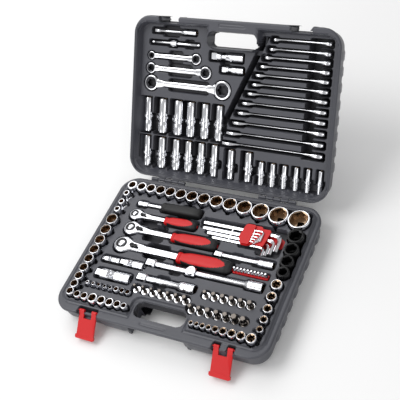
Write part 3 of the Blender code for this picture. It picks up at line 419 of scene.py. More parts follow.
def carve(obj, steps, place):
    """Applies union and difference blocks to a piece, then drops the blocks."""
    used = []
    for how, shape in steps:
        mesh = shape.mesh("block")
        m = place.copy()
        m.translation = m.translation * 0.001
        mesh.transform(m)
        block = bpy.data.objects.new("block", mesh)
        bpy.context.scene.collection.objects.link(block)
        mod = obj.modifiers.new(how, "BOOLEAN")
        mod.operation = how
        mod.solver = "EXACT"
        mod.object = block
        used.append(block)
    graph = bpy.context.evaluated_depsgraph_get()
    made = bpy.data.meshes.new_from_object(obj.evaluated_get(graph))
    obj.modifiers.clear()
    obj.data = made
    for block in used:
        bpy.data.objects.remove(block)


# ---------------------------------------------------------------- where the tools lie
HALF_SIZES = (13, 14, 15, 16, 17, 18, 19, 20, 21, 22, 24, 27, 30, 32)
BACK_OD = [max(22.0, 1.28 * s + 1.5) for s in HALF_SIZES]
BACK_X = [-191.0 + sum(BACK_OD[:k]) - BACK_OD[0] / 2 + BACK_OD[k] / 2 + 0.9 * k for k in range(14)]
BACK = [(x, 146.6 - d / 2, d, s) for x, d, s in zip(BACK_X, BACK_OD, HALF_SIZES)]
IMPACT = [(x, y, d, s) for x, y, d, s in zip((193, 195, 196, 197), (87, 57, 30, 6), (32, 29, 26, 24),
                                             (21, 19, 17, 14))]
TORX = [(x, y, 2 * r) for r, x, y in zip((10.5, 9.6, 8.6, 7.6, 6.6), (195, 195, 197, 198, 198),
                                         (-22, -48, -73, -95, -115))]
TORX += [(x, -135.5, 2 * r) for r, x in zip((9.5, 8.5, 8, 7.5, 6.5, 5.5, 5.5, 5, 5),
                                            (190, 170.5, 152.8, 136, 120.8, 107.6, 95.4, 83.6, 72.4))]
WIDE_FOOT = [(-194, y, 14, f, 8) for y, f in ((113, 20), (90, 20), (70, 18))]
LEFT = [(-193, y, min(26.0, 1.1 * s + 5) - 1, s) for s, y in zip((19, 18, 17, 16, 15, 14, 13, 12, 11),
                                                                (44, 16.5, -9.5, -33.5, -56, -77.5, -97.5,
                                                                 -116, -133.2))]
LEFT += [(x, -136, d, s) for x, d, s in zip((-175, -158.5, -139.5, -119.5, -101, -84, -69.5),
                                            (14.5, 15, 19.5, 18, 17, 15, 12.5),
                                            (10, 10, 13, 12, 11, 10, 8))]
QUARTER = [(x, -105.5, 8.0 if s < 7 else 11.0, 11.5, s) for x, s in
           zip((-169, -155.5, -142.5, -129.5, -116.5, -103.5, -90.5, -77.5), (4, 4.5, 5, 5.5, 6, 7, 8, 9))]
BITS_A = [(x, -90.0 if k < 7 else -104.0, 2.6 + 0.24 * k) for k, x in
          enumerate((-69, -50.5, -32.5, -15, 2.5, 20, 37.5, 56, 74, 91.5, 109, 126.5, 144, 161.5))]
BITS_B = [(x, -70.0, 3.4 + 0.35 * k) for k, x in enumerate((71, 89, 107, 125, 143, 161))]
DEEP_REAR = [(u + 3.0, 95.0, 167.0, d, d - 3.0) for u,
             d in zip((-200, -165, -128, -97, -64, -31), (24, 29, 28, 26, 26, 24))]
DEEP_FRONT = [(u + 3.0, 20.0, 85.0, d, f) for u, d,
              f in zip((-199, -163, -128, -98, -68, -37), (25, 27, 26, 24, 24, 24),
                                                            (19, 20, 20, 22, 22, 22))]
PLUGS = [(4.0, 20.0, 80.0, 22.0, 17.0), (43.0, 20.0, 80.0, 25.0, 18.0)]
SMALL_DEEP = [(73.0 + 25.2 * k, 18.0, 65.0, 18.0 - k, 15.0 - 0.6 * k) for k in range(6)]
WRENCHES = list(zip(range(8, 20), (79, 72, 63, 54, 45, 38, 29, 19, 11, 2, -9, -17),
                    (308, 289, 272, 254, 236, 217, 198, 178, 157.5, 136.5, 114.5, 92.5)))
RING_WRENCHES = (("small", -190.0, -85.0, 256.0, 8.5, 11.0, 7.0),
                 ("medium", -190.0, -62.0, 230.0, 11.0, 13.0, 8.0),
                 ("large", -188.0, -22.0, 199.0, 16.0, 19.0, 9.0))
RATCHETS = (("quarter", 70.0, 3.0, -164.0, 42.0, 26.0, 14.0, -152.0, -135.0, 9.0, -83.0, -10.0, 22.0, 18.0,
             6.35),
            ("three_eighths", 36.5, 1.5, -160.0, 50.0, 32.0, 17.0, -145.0, -128.0, 11.0, -51.0, 49.0, 26.0,
             22.0, 9.5),
            ("half", -4.0, -0.5, -162.0, 61.0, 37.0, 21.0, -145.0, -121.0, 15.0, -20.0, 98.0, 31.0, 25.0,
             12.7))


def base_height(x, y):
    """Tray of the base: a deck with a rounded trough under every tool.
    z = deck inside the tray edge, lowered to each trough's floor within its outline."""
    z = 0.0 + DECK * soft(tray_distance(x, y, -1.0, -1), 2.6)
    seam = np.abs(tray_distance(x, y, 3.2, -1))
    z = z - 1.2 * soft(seam - 0.8, 1.6)
    z = sink(z, box_distance(x, y, -202, 90, 136, 148.3, 6), -24.2)
    z = sink(z, box_distance(x, y, 80, 206, 122, 148.3, 6), -24.2)
    for px, py, d, _ in BACK:
        z = sink(z, np.hypot(x - px, y - py) - d / 2 - 1.6, -24.2)
        z = sink(z, box_distance(x, y, px - 4, px + 4, py - d / 2 - 5, py, 3.5), -16.0, 3.0)
    z = sink(z, box_distance(x, y, 190, 209, 0, 100, 5), -24.2)
    for px, py, d, _ in IMPACT:
        z = sink(z, np.hypot(x - px, y - py) - d / 2 - 1.4, -24.2)
    z = sink(z, box_distance(x, y, 193, 204, -142, -14, 4), -14.0)
    z = sink(z, box_distance(x, y, 68, 204, -141, -131, 4), -14.0)
    for px, py, d in TORX:
        z = sink(z, np.hypot(x - px, y - py) - d / 2 - 1.5, -14.0)
        z = sink(z, box_distance(x, y, px - 14 * (py > -130), px, py - 3.5, py + 3.5, 3), -8.0, 2.5)
    z = sink(z, box_distance(x, y, -201, -187, -141, 122, 5), -14.0)
    z = sink(z, box_distance(x, y, -200, -64, -142, -131, 4), -14.0)
    for px, py, d in [(a, b, f) for a, b, _, f, _ in WIDE_FOOT] + [(a, b, c) for a, b, c, _ in LEFT]:
        z = sink(z, np.hypot(x - px, y - py) - d / 2 - 1.5, -14.0)
        z = sink(z, box_distance(x, y, px, px + 16 * (py > -130), py - 3.5, py + 3.5, 3), -8.0, 2.5)
    z = sink(z, box_distance(x, y, -175, -71, -108, -103, 2), -13.5)
    for px, py, _, f, _ in QUARTER:
        z = sink(z, np.hypot(x - px, y - py) - f / 2 - 1.4, -13.5)
    for px, py, _ in BITS_A + BITS_B:
        z = sink(z, np.hypot(x - px, y - py) - 9.6, -21.5)
    z = sink(z, box_distance(x, y, -69, 38, -94, -86, 3), -21.5)
    z = sink(z, box_distance(x, y, 44, 49, -106, -87, 2), -21.5)
    z = sink(z, box_distance(x, y, 44, 162, -108, -100, 3), -21.5)
    z = sink(z, box_distance(x, y, 71, 161, -74, -66, 3), -21.5)
    for x0, x1, y0, y1, r, floor in (
            (-163, -134, 89, 108, 8, -8.5), (-140, -100, 92.5, 105.5, 4, -6),
            (-106, -10, 86.5, 111.5, 9, -8.5),
            (-62, -30, 82, 116, 8, -8.0),
            (-166, -136, 55, 85, 14, -14.0), (-142, -80, 62, 78, 7, -10.0), (-86, -8, 56.5, 83.5, 8, -8.5),
            (-134, -96, 50, 66, 7, -10.0),
            (-162, -126, 18.5, 54.5, 17, -19.0), (-130, -46, 28, 45, 7, -13.0),
            (-54, 51, 21, 52, 10, -12.0),
            (-112, -66, 16, 56, 8, -13.5), (-164, -124, -24.5, 16.5, 19, -25.4),
            (-128, -14, -14, 6, 8, -14.5),
            (-24, 100, -21.5, 13.5, 12, -15.5), (-92, -40, -22, 14, 9, -14.5),
            (-173, -72, -51.5, -32.5, 7, -9.5), (-169.5, -86, -89.5, -62.5, 8, -11.0),
            (-79, 173, -39, -23, 5, -6.5),
            (134, 173, -43, -19.5, 6, -8.5), (10, 38, -43, -19, 8, -9.0), (-20, 4, -46, -17, 6, -6.5),
            (-80, 50, -74, -57, 6, -6.5), (8, 49, -76, -55, 7, -7.4), (-40, -10, -79, -52, 7, -6.5),
            (47, 175, 12, 27.5, 5, -6.5),
            (130, 176, 9, 30, 6, -6.5), (84, 110, 8, 30, 6, -6.0), (98.5, 174, -14, 1, 4, -8.6),
            (-6, 128, 79, 97, 5, -8.4), (-4, 128, 71, 83, 5, -8.4), (10, 128, 60, 73, 5, -8.4),
            (22, 128, 50, 64, 5, -8.4),
            (86, 172, 44, 101, 8, -8.4), (126, 174, 35, 96, 8, -8.4)):
        z = sink(z, box_distance(x, y, x0, x1, y0, y1, r), floor, 2.0)
    grip = box_distance(x, y, -30, 25, -159, -153, 3)
    return z - 1.2 * soft(grip, 1.5) + 0.8 * soft(grip + 1.6, 1.5)


def lid_height(x, y):
    """Tray of the lid, in the lid's middle frame: recessed deck, double rim and a trough for each tool."""
    s = y + 171.0
    edge = tray_distance(x, y, 4.0, 1)
    z = LID_DECK * soft(edge, 5.0) - 0.3
    z = z - 1.5 * soft(np.abs(edge - 4.0) - 0.8, 1.6)
    for u, s0, s1, d, _ in DEEP_REAR + DEEP_FRONT + PLUGS + SMALL_DEEP:
        z = sink(z, box_distance(x, s, u - d / 2 - 1.6, u + d / 2 + 1.6, s0 - 3, s1 + 3, 3),
                 LID_DECK - d - 1.0)
        m = (s0 + s1) / 2
        z = sink(z, box_distance(x, s, u, u + d / 2 + 9, m - 14, m + 4, 5), LID_DECK - d * 0.8, 2.5)
    z = sink(z, box_distance(x, s, -206, -20, 97, 118, 4), -40.0, 2.0)
    z = sink(z, box_distance(x, s, -206, -24, 24, 40, 4), -40.0, 2.0)
    z = sink(z, box_distance(x, s, 62, 206, 20, 36, 4), -32.0, 2.0)
    for size, u0, s0 in WRENCHES:
        jaw = min(30.0, 2.15 * size)
        z = sink(z, box_distance(x, s, u0 - 4, u0 + 1.9 * size, s0 - 7, s0 + 7, 5), LID_DECK - jaw - 1, 2.0)
        z = sink(z, box_distance(x, s, u0, 204, s0 - 4.2, s0 + 4.2, 1.5), LID_DECK - jaw - 1, 1.6)
        z = sink(z, box_distance(x, s, 172, 205, s0 - 8.0, s0 + 8.0, 3), LID_DECK - jaw - 1, 2.0)
    z = sink(z, box_distance(x, s, 158, 178, 84, 316, 3), -48.0, 2.0)
    slope = (x - (-24.0) - (s - 88.0) * 0.445) / 1.09
    band = np.maximum(np.abs(slope + 8.0) - 5.0, np.maximum(108 - s, s - 312))
    z = sink(z, np.where(x < 80, band, 9.0), -44.0, 2.5)
    for _, u0, u1, s0, r0, r1, t in RING_WRENCHES:
        z = sink(z, np.hypot(x - u0, s - s0) - r0 - 1.6, LID_DECK - t - 1.0)
        z = sink(z, np.hypot(x - u1, s - s0) - r1 - 1.6, LID_DECK - t - 1.0)
        z = sink(z, box_distance(x, s, u0, u1, s0 - 6.5, s0 + 6.5, 2), LID_DECK - t - 1.0)
        z = sink(z, box_distance(x, s, u0 + 42, u1 - 30, s0 - 13, s0 + 13, 6), LID_DECK - t - 4.0, 2.5)
    for x0, x1, y0, y1, r, floor in (
            (-191, -84, 301, 315, 4, -31), (-165, -125, 297, 319, 5, -31), (-196, -77, 278, 290, 4, -34),
            (-152, -128, 275, 293, 5, -34), (-112, -90, 275, 294, 5, -32), (-56, 23, 255, 277, 5, -38.5),
            (-30, -8, 250, 272, 5, -36), (-31, 25, 232, 250, 5, -34.5)):
        z = sink(z, box_distance(x, s, x0, x1, y0, y1, r), floor, 2.0)
    slot = box_distance(x, s, -30, 28, 325, 331, 3)
    return z - 1.2 * soft(slot, 1.5) + 0.8 * soft(slot + 1.6, 1.5)


# ---------------------------------------------------------------- tools
def socket(shape, x, y, top, length, head, foot, kind, flats, drive, place=None):
    """Turned socket: knurled drive end, waist groove, chamfered mouth, broached bore and square drive hole.
    Radius follows the stations; the bore's outline is a hexagon or star of the given half width."""
    z0 = top - length
    h, f, w = head / 2, foot / 2, flats / 2
    body = [(z0, f - 0.8), (z0 + 0.8, f)]
    if foot > head + 0.5:
        body += [(z0 + length * 0.42, f), (z0 + length * 0.56, h)]
    else:
        body += [(z0 + length * 0.30, f), (z0 + length * 0.33, f - 0.5), (z0 + length * 0.38, f - 0.5),
                 (z0 + length * 0.41, h)]
    mouth = min(w * 1.155 + 0.35, h - 0.7)
    body += [(top - 0.9, h), (top - 0.25, h - 0.35), (top, h - 0.8), (top, mouth)]
    bore = [(top - 1.3, w, kind), (top - length * 0.5, w * 0.98, kind),
            (top - length * 0.52, min(drive, w * 0.8), "s"),
            (z0 + 1.0, min(drive, w * 0.8), "s"), (z0, min(drive, w * 0.8) + 0.4, "s")]
    return turned(body + bore, 48, True, (place or Matrix.Identity(4)) @ at(x, y, 0), shape, len(body) - 1)


def lying(shape, u, s0, s1, head, foot, collar=True):
    """Deep socket lying along the lid: foot, collar rings, long barrel and chamfered mouth."""
    n = s1 - s0
    h, f = head / 2, min(foot / 2, head * 0.37)
    hole = h * 0.52
    st = [(0, f - 0.8), (0.8, f), (n * 0.30, f), (n * 0.32, f - 0.8), (n * 0.36, f - 0.8)]
    b = h * 0.78
    st += [(n * 0.37, b), (n * 0.42, b), (n * 0.425, h - 0.5), (n * 0.43, h), (n * 0.45, h),
           (n * 0.455, h - 1.0),
           (n * 0.465, h - 1.0), (n * 0.47, h), (n * 0.49, h),
           (n * 0.495, h - 0.5)] if collar else [(n * 0.42, b)]
    st += [(n * 0.50, b), (n - 1.0, b), (n - 0.3, b - 0.3), (n, b - 0.8), (n, hole * 1.12)]
    st += [(n - 1.3, hole, "h"), (n * 0.6, hole, "h"), (n * 0.6, 0.4, "h")]
    return turned(st, 40, False, at(u, s0, LID_DECK - max(head, foot) / 2) @ ALONG_Y, shape, len(st) - 4)


def drive_bar(shape, x0, x1, y, z, shaft, end, drive, place=None):
    """Extension bar: square drive with its ball, shoulder, slim shaft, cone and drilled female end."""
    n = x1 - x0
    w = drive / 2
    dl = drive * 1.15
    st = [(0, w * 0.86, "s"), (0.8, w, "s"), (dl - 0.6, w, "s"), (dl, w * 1.05), (dl + 0.6, w * 1.42),
          (dl + 4.5, w * 1.42),
          (dl + 7, shaft / 2), (n - 36, shaft / 2), (n - 29, end / 2 - 0.5), (n - 27, end / 2),
          (n - 20, end / 2),
          (n - 19.4, end / 2 - 0.6), (n - 17.5, end / 2 - 0.6), (n - 17, end / 2), (n - 0.8, end / 2),
          (n, end / 2 - 0.8), (n, w * 1.35), (n - 0.6, w + 0.1, "s"), (n - dl - 2, w + 0.1, "s")]
    return turned(st, 36, False, (place or Matrix.Identity(4)) @ at(x0, y, z) @ ALONG_X, shape, 16)


class Sizes(bpy.types.PropertyGroup):
    """Sizes a maker may want to change."""
    camera_lens: bpy.props.FloatProperty(name="Camera lens", description="Focal length on a 36 mm sensor",
                                         default=72.66)
    edge_radius: bpy.props.FloatProperty(name="Edge radius",
                                         description="Rounding of moulded and forged edges",
                                         default=0.0005, unit="LENGTH")
    floor_size: bpy.props.FloatProperty(name="Floor", description="Side of the floor sheet", default=14.0,
                                        unit="LENGTH")


class Colours(bpy.types.PropertyGroup):
    """Colours as sRGB hex."""
    case: bpy.props.StringProperty(name="Case", description="Moulded case", default="#484950")
    # painted shade: the darker case colour given to the trough faces in place of the shade that falls there
    recess_shade: bpy.props.StringProperty(name="Recess", description="Troughs of the case", default="#2e2e33")
    red: bpy.props.StringProperty(name="Red", description="Latches, grips and holders", default="#cc0208")
    chrome: bpy.props.StringProperty(name="Chrome", description="Plated steel", default="#e9eaee")
    bore: bpy.props.StringProperty(name="Bore", description="Inside of the sockets", default="#a08a74")


class Build:
    bl_options = {"REGISTER"}


class CASE_OT_halves(Build, bpy.types.Operator):
    """Build both halves of the case: tray height fields and ribbed tubs"""
    bl_idname = "tool_case.halves"
    bl_label = "Case halves"

    def execute(self, context):
        # the second material is the painted trough shade, set on the sunken tray faces by tray_shape
        skin = [finishes()["case"], finishes()["case_trough_shade"]]
        piece("base_tray", tray_shape(-1, base_height, 15.5), BASE, "base", skin, ["base_half"], 50)
        piece("lid_tray", tray_shape(1, lid_height, 12.5), MID, "lid", skin, ["lid_half"], 50)
        tub = piece("base_tub", shell_shape(46.0, -26.6, -1), BASE, "base", skin)
        scoop = [(x, y, z) for x in (-44, 44) for y,
                 z in ((-119, -48), (-77.5, -48), (-112.5, -13.2), (-119, -13.2))]
        wedge = Shape().add(np.array(scoop), [np.array([[0, 3, 2, 1], [4, 5, 6, 7], [0, 1, 5, 4],
                                                        [1, 2, 6, 5],
                                                        [2, 3, 7, 6], [3, 0, 4, 7]])])
        carve(tub, [("UNION", box_shape(-66, 66, -160, -72, -45.5, -22.5)),
                    ("UNION", box_shape(-61, 61, -160, -114.5, -30, -6.6)),
                    ("DIFFERENCE", box_shape(-60, 60, -175, -118, -50, -13.2)), ("DIFFERENCE", wedge),
                    ("DIFFERENCE", box_shape(-52, 52, -143.5, -113.5, -50, -5))], BASE)
        tub = piece("lid_tub", shell_shape(52.0, -49.0, 1), MID, "lid", skin)
        cuts = [("UNION", box_shape(-66, 66, 104, 161, -40, -27)),
                ("UNION", box_shape(-66, 66, 104, 150, -50.2, -38)),
                ("DIFFERENCE", box_shape(-62, 62, 113, 175, -56, -26.4)),
                ("DIFFERENCE", box_shape(-52, 52, 113.5, 143.5, -56, -10))]
        cuts += [("DIFFERENCE", box_shape(u - 21.5, u + 21.5, 155.5, 175, -56, 5)) for u in (-143, 143)]
        carve(tub, cuts, MID)
        for name in ("base_tub", "lid_tub"):
            bpy.data.objects[name].data.shade_smooth()
            bpy.data.objects[name].data.set_sharp_from_angle(angle=math.radians(45))
        hinge = Shape()
        for x0, x1 in ((-165, -85), (82, 162)):
            step = (x1 - x0) / 5
            for k in range(0, 5, 2):
                turned([(step * k + 0.3, 2.8), (step * k + 0.8, 3.3), (step * (k + 1) - 0.8, 3.3),
                        (step * (k + 1) - 0.3, 2.8)], 24, False, at(x0, 171, 0) @ ALONG_X, hinge)
                swept([(x0 + step * k + 0.4, 166.5, -1.9, 4.6, 1.3),
                       (x0 + step * (k + 1) - 0.4, 166.5, -1.9, 4.6, 1.3)],
                      16, 8.0, None, hinge)
        piece("base_knuckles", hinge, BASE, "base", skin)
        hinge = Shape()
        for x0, x1 in ((-165, -85), (82, 162)):
            step = (x1 - x0) / 5
            for k in (1, 3):
                turned([(step * k + 0.3, 2.8), (step * k + 0.8, 3.3), (step * (k + 1) - 0.8, 3.3),
                        (step * (k + 1) - 0.3, 2.8)], 24, False, at(x0, 0, 0) @ ALONG_X, hinge)
                swept([(x0 + step * k + 0.4, 4.5, -1.9, 4.6, 1.3),
                       (x0 + step * (k + 1) - 0.4, 4.5, -1.9, 4.6, 1.3)],
                      16, 8.0, None, hinge)
        piece("lid_knuckles", hinge, LID, "lid", skin)
        return {"FINISHED"}


class CASE_OT_sockets(Build, bpy.types.Operator):
    """Build the standing sockets of the base tray"""
    bl_idname = "tool_case.sockets"
    bl_label = "Standing sockets"

    def execute(self, context):
        f = finishes()
        plated = [f["chrome"], f["bore"]]
        rows = Shape()
        for x, y, d, s in BACK:
            socket(rows, x, y, TOP, 38, d, d, "h", s, 6.35)
        piece("back_sockets", rows, BASE, "base", plated, ["sockets_back_row"])
        rows = Shape()
        for x, y, d, s in IMPACT:
            socket(rows, x, y, TOP, 38, d, d, "h", s, 6.35)
        piece("impact_sockets", rows, BASE, "base", [f["impact"], f["impact"]],
              ["sockets_impact"])
        rows = Shape()
        for x, y, d in TORX:
            socket(rows, x, y, TOP, 28, d, d, "t", d * 0.72, 4.75 if d > 14 else 3.2)
        piece("star_sockets", rows, BASE, "base", plated, ["sockets_etorx"])
        rows = Shape()
        for x, y, d, foot, s in WIDE_FOOT:
            socket(rows, x, y, TOP, 28, d, foot, "h", s, 4.75)
        for x, y, d, s in LEFT:
            socket(rows, x, y, TOP, 28, d, d, "h", s, 4.75)
        piece("side_sockets", rows, BASE, "base", plated, ["sockets_left_rows"])
        rows = Shape()
        for x, y, d, foot, s in QUARTER:
            socket(rows, x, y, 12.0, 25, d, foot, "h", s, 3.2)
        piece("small_sockets", rows, BASE, "base", plated, ["sockets_quarter_row"])
        for name, row, ring, node_name in (("front_bits", BITS_A, -1.5, "bit_sockets_front"),
                                           ("rear_bits", BITS_B, 0.5, "bit_sockets_rear")):
            rows = Shape()
            for k, (x, y, r) in enumerate(row):
                kind = "t" if (k % 3 if name == "front_bits" else k > 3) else "h"
                turned([(-21, 7.6), (-20.4, 8.3), (-14, 8.3), (-13.4, 7.8), (-12.4, 7.8), (-11.8, 8.3),
                        (ring - 0.8, 8.3),
                        (ring, 7.6), (ring, r * 1.25 + 0.6), (ring + 0.2, r * 1.05), (ring + 6, r * 1.02),
                        (ring + 7, r * 0.98, kind), (15.4, r * 0.96, kind), (16, r * 0.82, kind)], 48,
                        False,
                       at(x, y, 0), rows, 8)
            piece(name, rows, BASE, "base", [f["chrome"], f["tip"]], [node_name])
        return {"FINISHED"}


class CASE_OT_ratchets(Build, bpy.types.Operator):
    """Build the three ratchets: forged body, two-colour grip, lever and button"""
    bl_idname = "tool_case.ratchets"
    bl_label = "Ratchets"

    def execute(self, context):
        f = finishes()
        for name, y, h, left, length, w, t, bx, lx, sw, g0, g1, gw, gt, _ in RATCHETS:
            r = w / 2
            nose = left + r
            neck = left + length
            a = np.linspace(0, 0.5 * math.pi, 9)
            st = [(nose - r * math.cos(k), 0, h, max(r * math.sin(k), 0.8),
                   t / 2 * (0.72 + 0.28 * math.sin(k))) for k in a]
            st += [(nose + r * 0.35, 0, h, r * 0.96, t / 2), (nose + r * 0.8, 0, h, r * 0.78, t / 2),
                   (nose + r * 1.2, 0, h, r * 0.56, t * 0.46), (neck, 0, h, sw * 0.62, t * 0.34),
                   (neck + 8, 0, h, sw * 0.5, t * 0.27), (g0 - 10, 0, h, sw * 0.46, t * 0.26),
                   (g0 + 10, 0, h, sw * 0.46, t * 0.26)]
            body = swept(st, 40, 5.0)
            top = h + t / 2
            turned([(top - 1.2, r * 0.66), (top + 0.25, r * 0.66), (top + 0.45, r * 0.63),
                    (top + 0.5, r * 0.62),
                    (top + 0.5, r * 0.36), (top - 0.6, r * 0.34)], 40, False, at(bx, 0, 0), body, 3)
            piece(f"ratchet_{name}_forging", body, BASE @ at(0, y, 0), "base",
                  [f["chrome"], f["impact"]],
                  [f"ratchet_{name}_body"])
            knob = turned([(top - 0.5, r * 0.3), (top + 1.2, r * 0.3), (top + 1.6, r * 0.22)], 32, False,
                          at(bx, 0, 0))
            piece(f"ratchet_{name}_knob", knob, BASE @ at(0, y, 0), f"ratchet_{name}_button",
                  [f["chrome"]],
                  [f"ratchet_{name}_button"])
            lever = turned([(top + 0.3, w * 0.13), (top + 2.4, w * 0.13), (top + 3.0, w * 0.09)], 28,
                           False, at(lx, 0, 0))
            swept([(lx - 1, 0, top + 1.6, w * 0.09, 1.2), (lx + w * 0.2, 0, top + 1.6, w * 0.09, 1.3),
                   (lx + w * 0.36, 0, top + 1.8, w * 0.06, 1.3)], 20, 4.0, None, lever)
            piece(f"ratchet_{name}_selector", lever, BASE @ at(0, y, 0), f"ratchet_{name}_lever",
                  [f["impact"]], [f"ratchet_{name}_lever"])
            n = g1 - g0
            profile = smooth_stations([(g0 + n * k, 0, h, gw / 2 * q, gt / 2 * q) for k, q in
                                       ((0, 0.60), (0.012, 0.70), (0.05, 0.74), (0.07, 0.66), (0.11, 0.70),
                                        (0.22, 0.86),
                                        (0.45, 0.93), (0.72, 1.0), (0.88, 0.97), (0.95, 0.84),
                                        (0.985, 0.62), (1.0, 0.3))], 1.2)

            def tags(s, a, g0=g0, n=n):
                along = (s[:-1, 0] - g0) / n
                half = np.where(along < 0.09, 4.0,
                                0.95 * np.clip(1 - ((along - 0.36) / 0.52) ** 2, 0, 1) ** 0.8)
                off = np.abs((a[None, :] - math.pi / 2 + math.pi) % (2 * math.pi) - math.pi)
                return np.where(off < half[:, None], 0, 1).ravel()

            grip = swept(profile, 56, 2.8, None, None, tags)
            piece(f"ratchet_{name}_handle", grip, BASE @ at(0, y, 0), "base",
                  [f["grip_red"], f["grip_black"]], [f"ratchet_{name}_grip"], 60)
        return {"FINISHED"}


class CASE_OT_bars(Build, bpy.types.Operator):
    """Build extension bars, universal joints, the spinner handle and the sliding heads"""
    bl_idname = "tool_case.bars"
    bl_label = "Bars and joints"

    def execute(self, context):
        f = finishes()
        plated = [f["chrome"], f["bore"]]
        for name, spec in (("extension_half_long", (-74.0, 170.0, -31.0, 3.0, 11.0, 20.0, 12.7)),
                           ("extension_half_short", (-77.0, 46.0, -65.5, 3.0, 12.0, 19.0, 12.7)),
                           ("extension_three_eighths", (51.0, 172.0, 19.5, 3.0, 9.0, 14.0, 9.5))):
            piece(name + "_bar", drive_bar(Shape(), *spec), BASE, "base", plated, [name])
        lid_bar = drive_bar(Shape(), -186.0, -89.0, 308.0, LID_DECK - 6.0, 5.6, 11.0, 6.35)
        piece("extension_quarter_bar", lid_bar, LID, "lid", plated, ["extension_quarter"])
        head = turned([(-9.5, 8.6), (-8.8, 9.6), (8.8, 9.6), (9.5, 8.6), (9.5, 6.2), (-9.5, 6.2)], 36, True,
                      at(24, -31, 3) @ ALONG_X)
        turned([(5.0, 8.9), (11.6, 8.9), (12.3, 8.2), (12.4, 5.2), (11.2, 4.6), (11.2, 2.6), (12.0, 2.2)],
               40, False,
               at(24, -31, 0), head)
        piece("slider", head, BASE, "base", [f["chrome"]], ["slider_head"])
        rod = turned([(0, 2.6), (0.8, 3.4), (4, 3.4), (4.5, 2.9), (5.5, 2.9), (6, 3.2), (105, 3.2),
                      (105.5, 2.9),
                      (106.5, 2.9), (107, 3.4), (110.2, 3.4), (111, 2.6)], 28, False,
                      at(-192, 284, LID_DECK - 8) @ ALONG_X)
        piece("tbar_rod", rod, LID, "lid", [f["chrome"]], ["tbar"])
        head = turned([(-6.5, 6.8), (-5.8, 7.6), (5.8, 7.6), (6.5, 6.8), (6.5, 4.6), (-6.5, 4.6)], 32, True,
                      at(-140, 284, LID_DECK - 8) @ ALONG_X)
        turned([(-5.0, 6.4), (6.8, 6.4), (7.4, 5.6), (7.4, 2.4), (6.8, 2.0)], 32, False,
               at(-140, 284, LID_DECK - 8), head)
        piece("tbar_head", head, LID, "lid", [f["chrome"]], ["tbar_slider"])
        for name, u0, u1, s, d, drive in (("adapter_large", -52.0, 19.0, 266.0, 20.0, 12.7),
                                          ("adapter_small", -27.0, 21.0, 241.0, 16.0, 9.5)):
            n, w = u1 - u0, drive / 2
            st = [(0, w * 0.86, "s"), (0.8, w, "s"), (drive, w, "s"), (drive + 0.5, w * 1.4),
                  (n * 0.30, w * 1.4),
                  (n * 0.33, w * 0.95), (n * 0.43, w * 0.95), (n * 0.46, w * 1.4), (n * 0.50, w * 1.4),
                  (n * 0.53, d / 2),
                  (n * 0.66, d / 2), (n * 0.67, d / 2 - 0.7), (n * 0.71, d / 2 - 0.7), (n * 0.72, d / 2),
                  (n - 0.8, d / 2),
                  (n, d / 2 - 0.8), (n, w * 1.3), (n - 0.6, w, "s"), (n * 0.78, w, "s")]
            body = turned(st, 32, False, at(u0, s, LID_DECK - d / 2) @ ALONG_X, None, 16)
            piece(name + "_body", body, LID, "lid", plated, [name])
        for name, x0, x1, y, d, drive in (("joint_quarter", -171.0, -131.0, -42.0, 12.0, 6.35),
                                          ("joint_three_eighths", -129.0, -77.0, -42.0, 16.0, 9.5),
                                          ("joint_half", -167.0, -89.0, -76.0, 22.0, 12.7)):
            n, w, r = x1 - x0, drive / 2, d / 2
            body = turned([(0, w * 0.86, "s"), (0.8, w, "s"), (drive, w, "s"), (drive + 0.5, r - 0.8),
                           (drive + 1.2, r),
                           (n * 0.36, r), (n * 0.39, r * 0.7), (n * 0.42, r * 0.45), (n * 0.45, r * 0.45)],
                           36, False,
                          at(x0, y, 2) @ ALONG_X)
            for sign in (-1, 1):
                swept([(n * 0.34, sign * r * 0.66, 0, r * 0.24, r * 0.62),
                       (n * 0.47, sign * r * 0.66, 0, r * 0.2, r * 0.5),
                       (n * 0.52, sign * r * 0.6, 0, r * 0.12, r * 0.2)], 20, 3.0, at(x0, y, 2), body)
                swept([(n * 0.42, 0, sign * r * 0.6, r * 0.2, r * 0.12),
                       (n * 0.47, 0, sign * r * 0.66, r * 0.5, r * 0.2),
                       (n * 0.62, 0, sign * r * 0.66, r * 0.62, r * 0.24)], 20, 3.0, at(x0, y, 2), body)
            turned([(-r * 0.86, r * 0.16), (r * 0.86, r * 0.16)], 16, False, at(x0 + n * 0.46, y, 2), body)
            turned([(n * 0.44, r * 0.4), (n * 0.54, r * 0.45), (n * 0.58, r), (n * 0.80, r),
                    (n * 0.81, r - 0.6),
                    (n * 0.85, r - 0.6), (n * 0.86, r), (n - 0.8, r), (n, r - 0.8), (n, w * 1.3),
                    (n - 0.6, w, "s"),
                    (n * 0.8, w, "s")], 36, False, at(x0, y, 2) @ ALONG_X, body)
            piece(name + "_body", body, BASE, "base", [f["chrome"]], [name])
        shaft = turned([(0, 5.0), (0.8, 5.8), (8, 5.8), (8.6, 5.2), (10, 5.2), (10.6, 5.8), (21, 5.8),
                        (23.5, 3.4),
                        (62, 3.4)], 32, False, at(-158, 99, 4) @ ALONG_X)
        piece("spinner_rod", shaft, BASE, "base", [f["chrome"]], ["spinner_shaft"])
        grip = swept([(-103, 99, 4, 6.5, 6.5), (-102, 99, 4, 8.6, 8.6), (-97, 99, 4, 10.2, 10.2),
                      (-93, 99, 4, 9.0, 9.0),
                      (-86, 99, 4, 9.2, 9.2), (-80, 99, 4, 10.6, 10.6), (-30, 99, 4, 10.6, 10.6),
                      (-17, 99, 4, 10.2, 10.2),
                      (-14, 99, 4, 8.6, 8.6), (-12.6, 99, 4, 6.0, 6.0)], 48, 3.6)
        turned([(0, 5.4), (0.9, 5.2), (1.0, 4.0)], 24, False, at(-13, 99, 4) @ ALONG_X, grip)
        piece("spinner_handle", grip, BASE, "base", [f["grip_black"]], ["spinner_grip"])
        return {"FINISHED"}


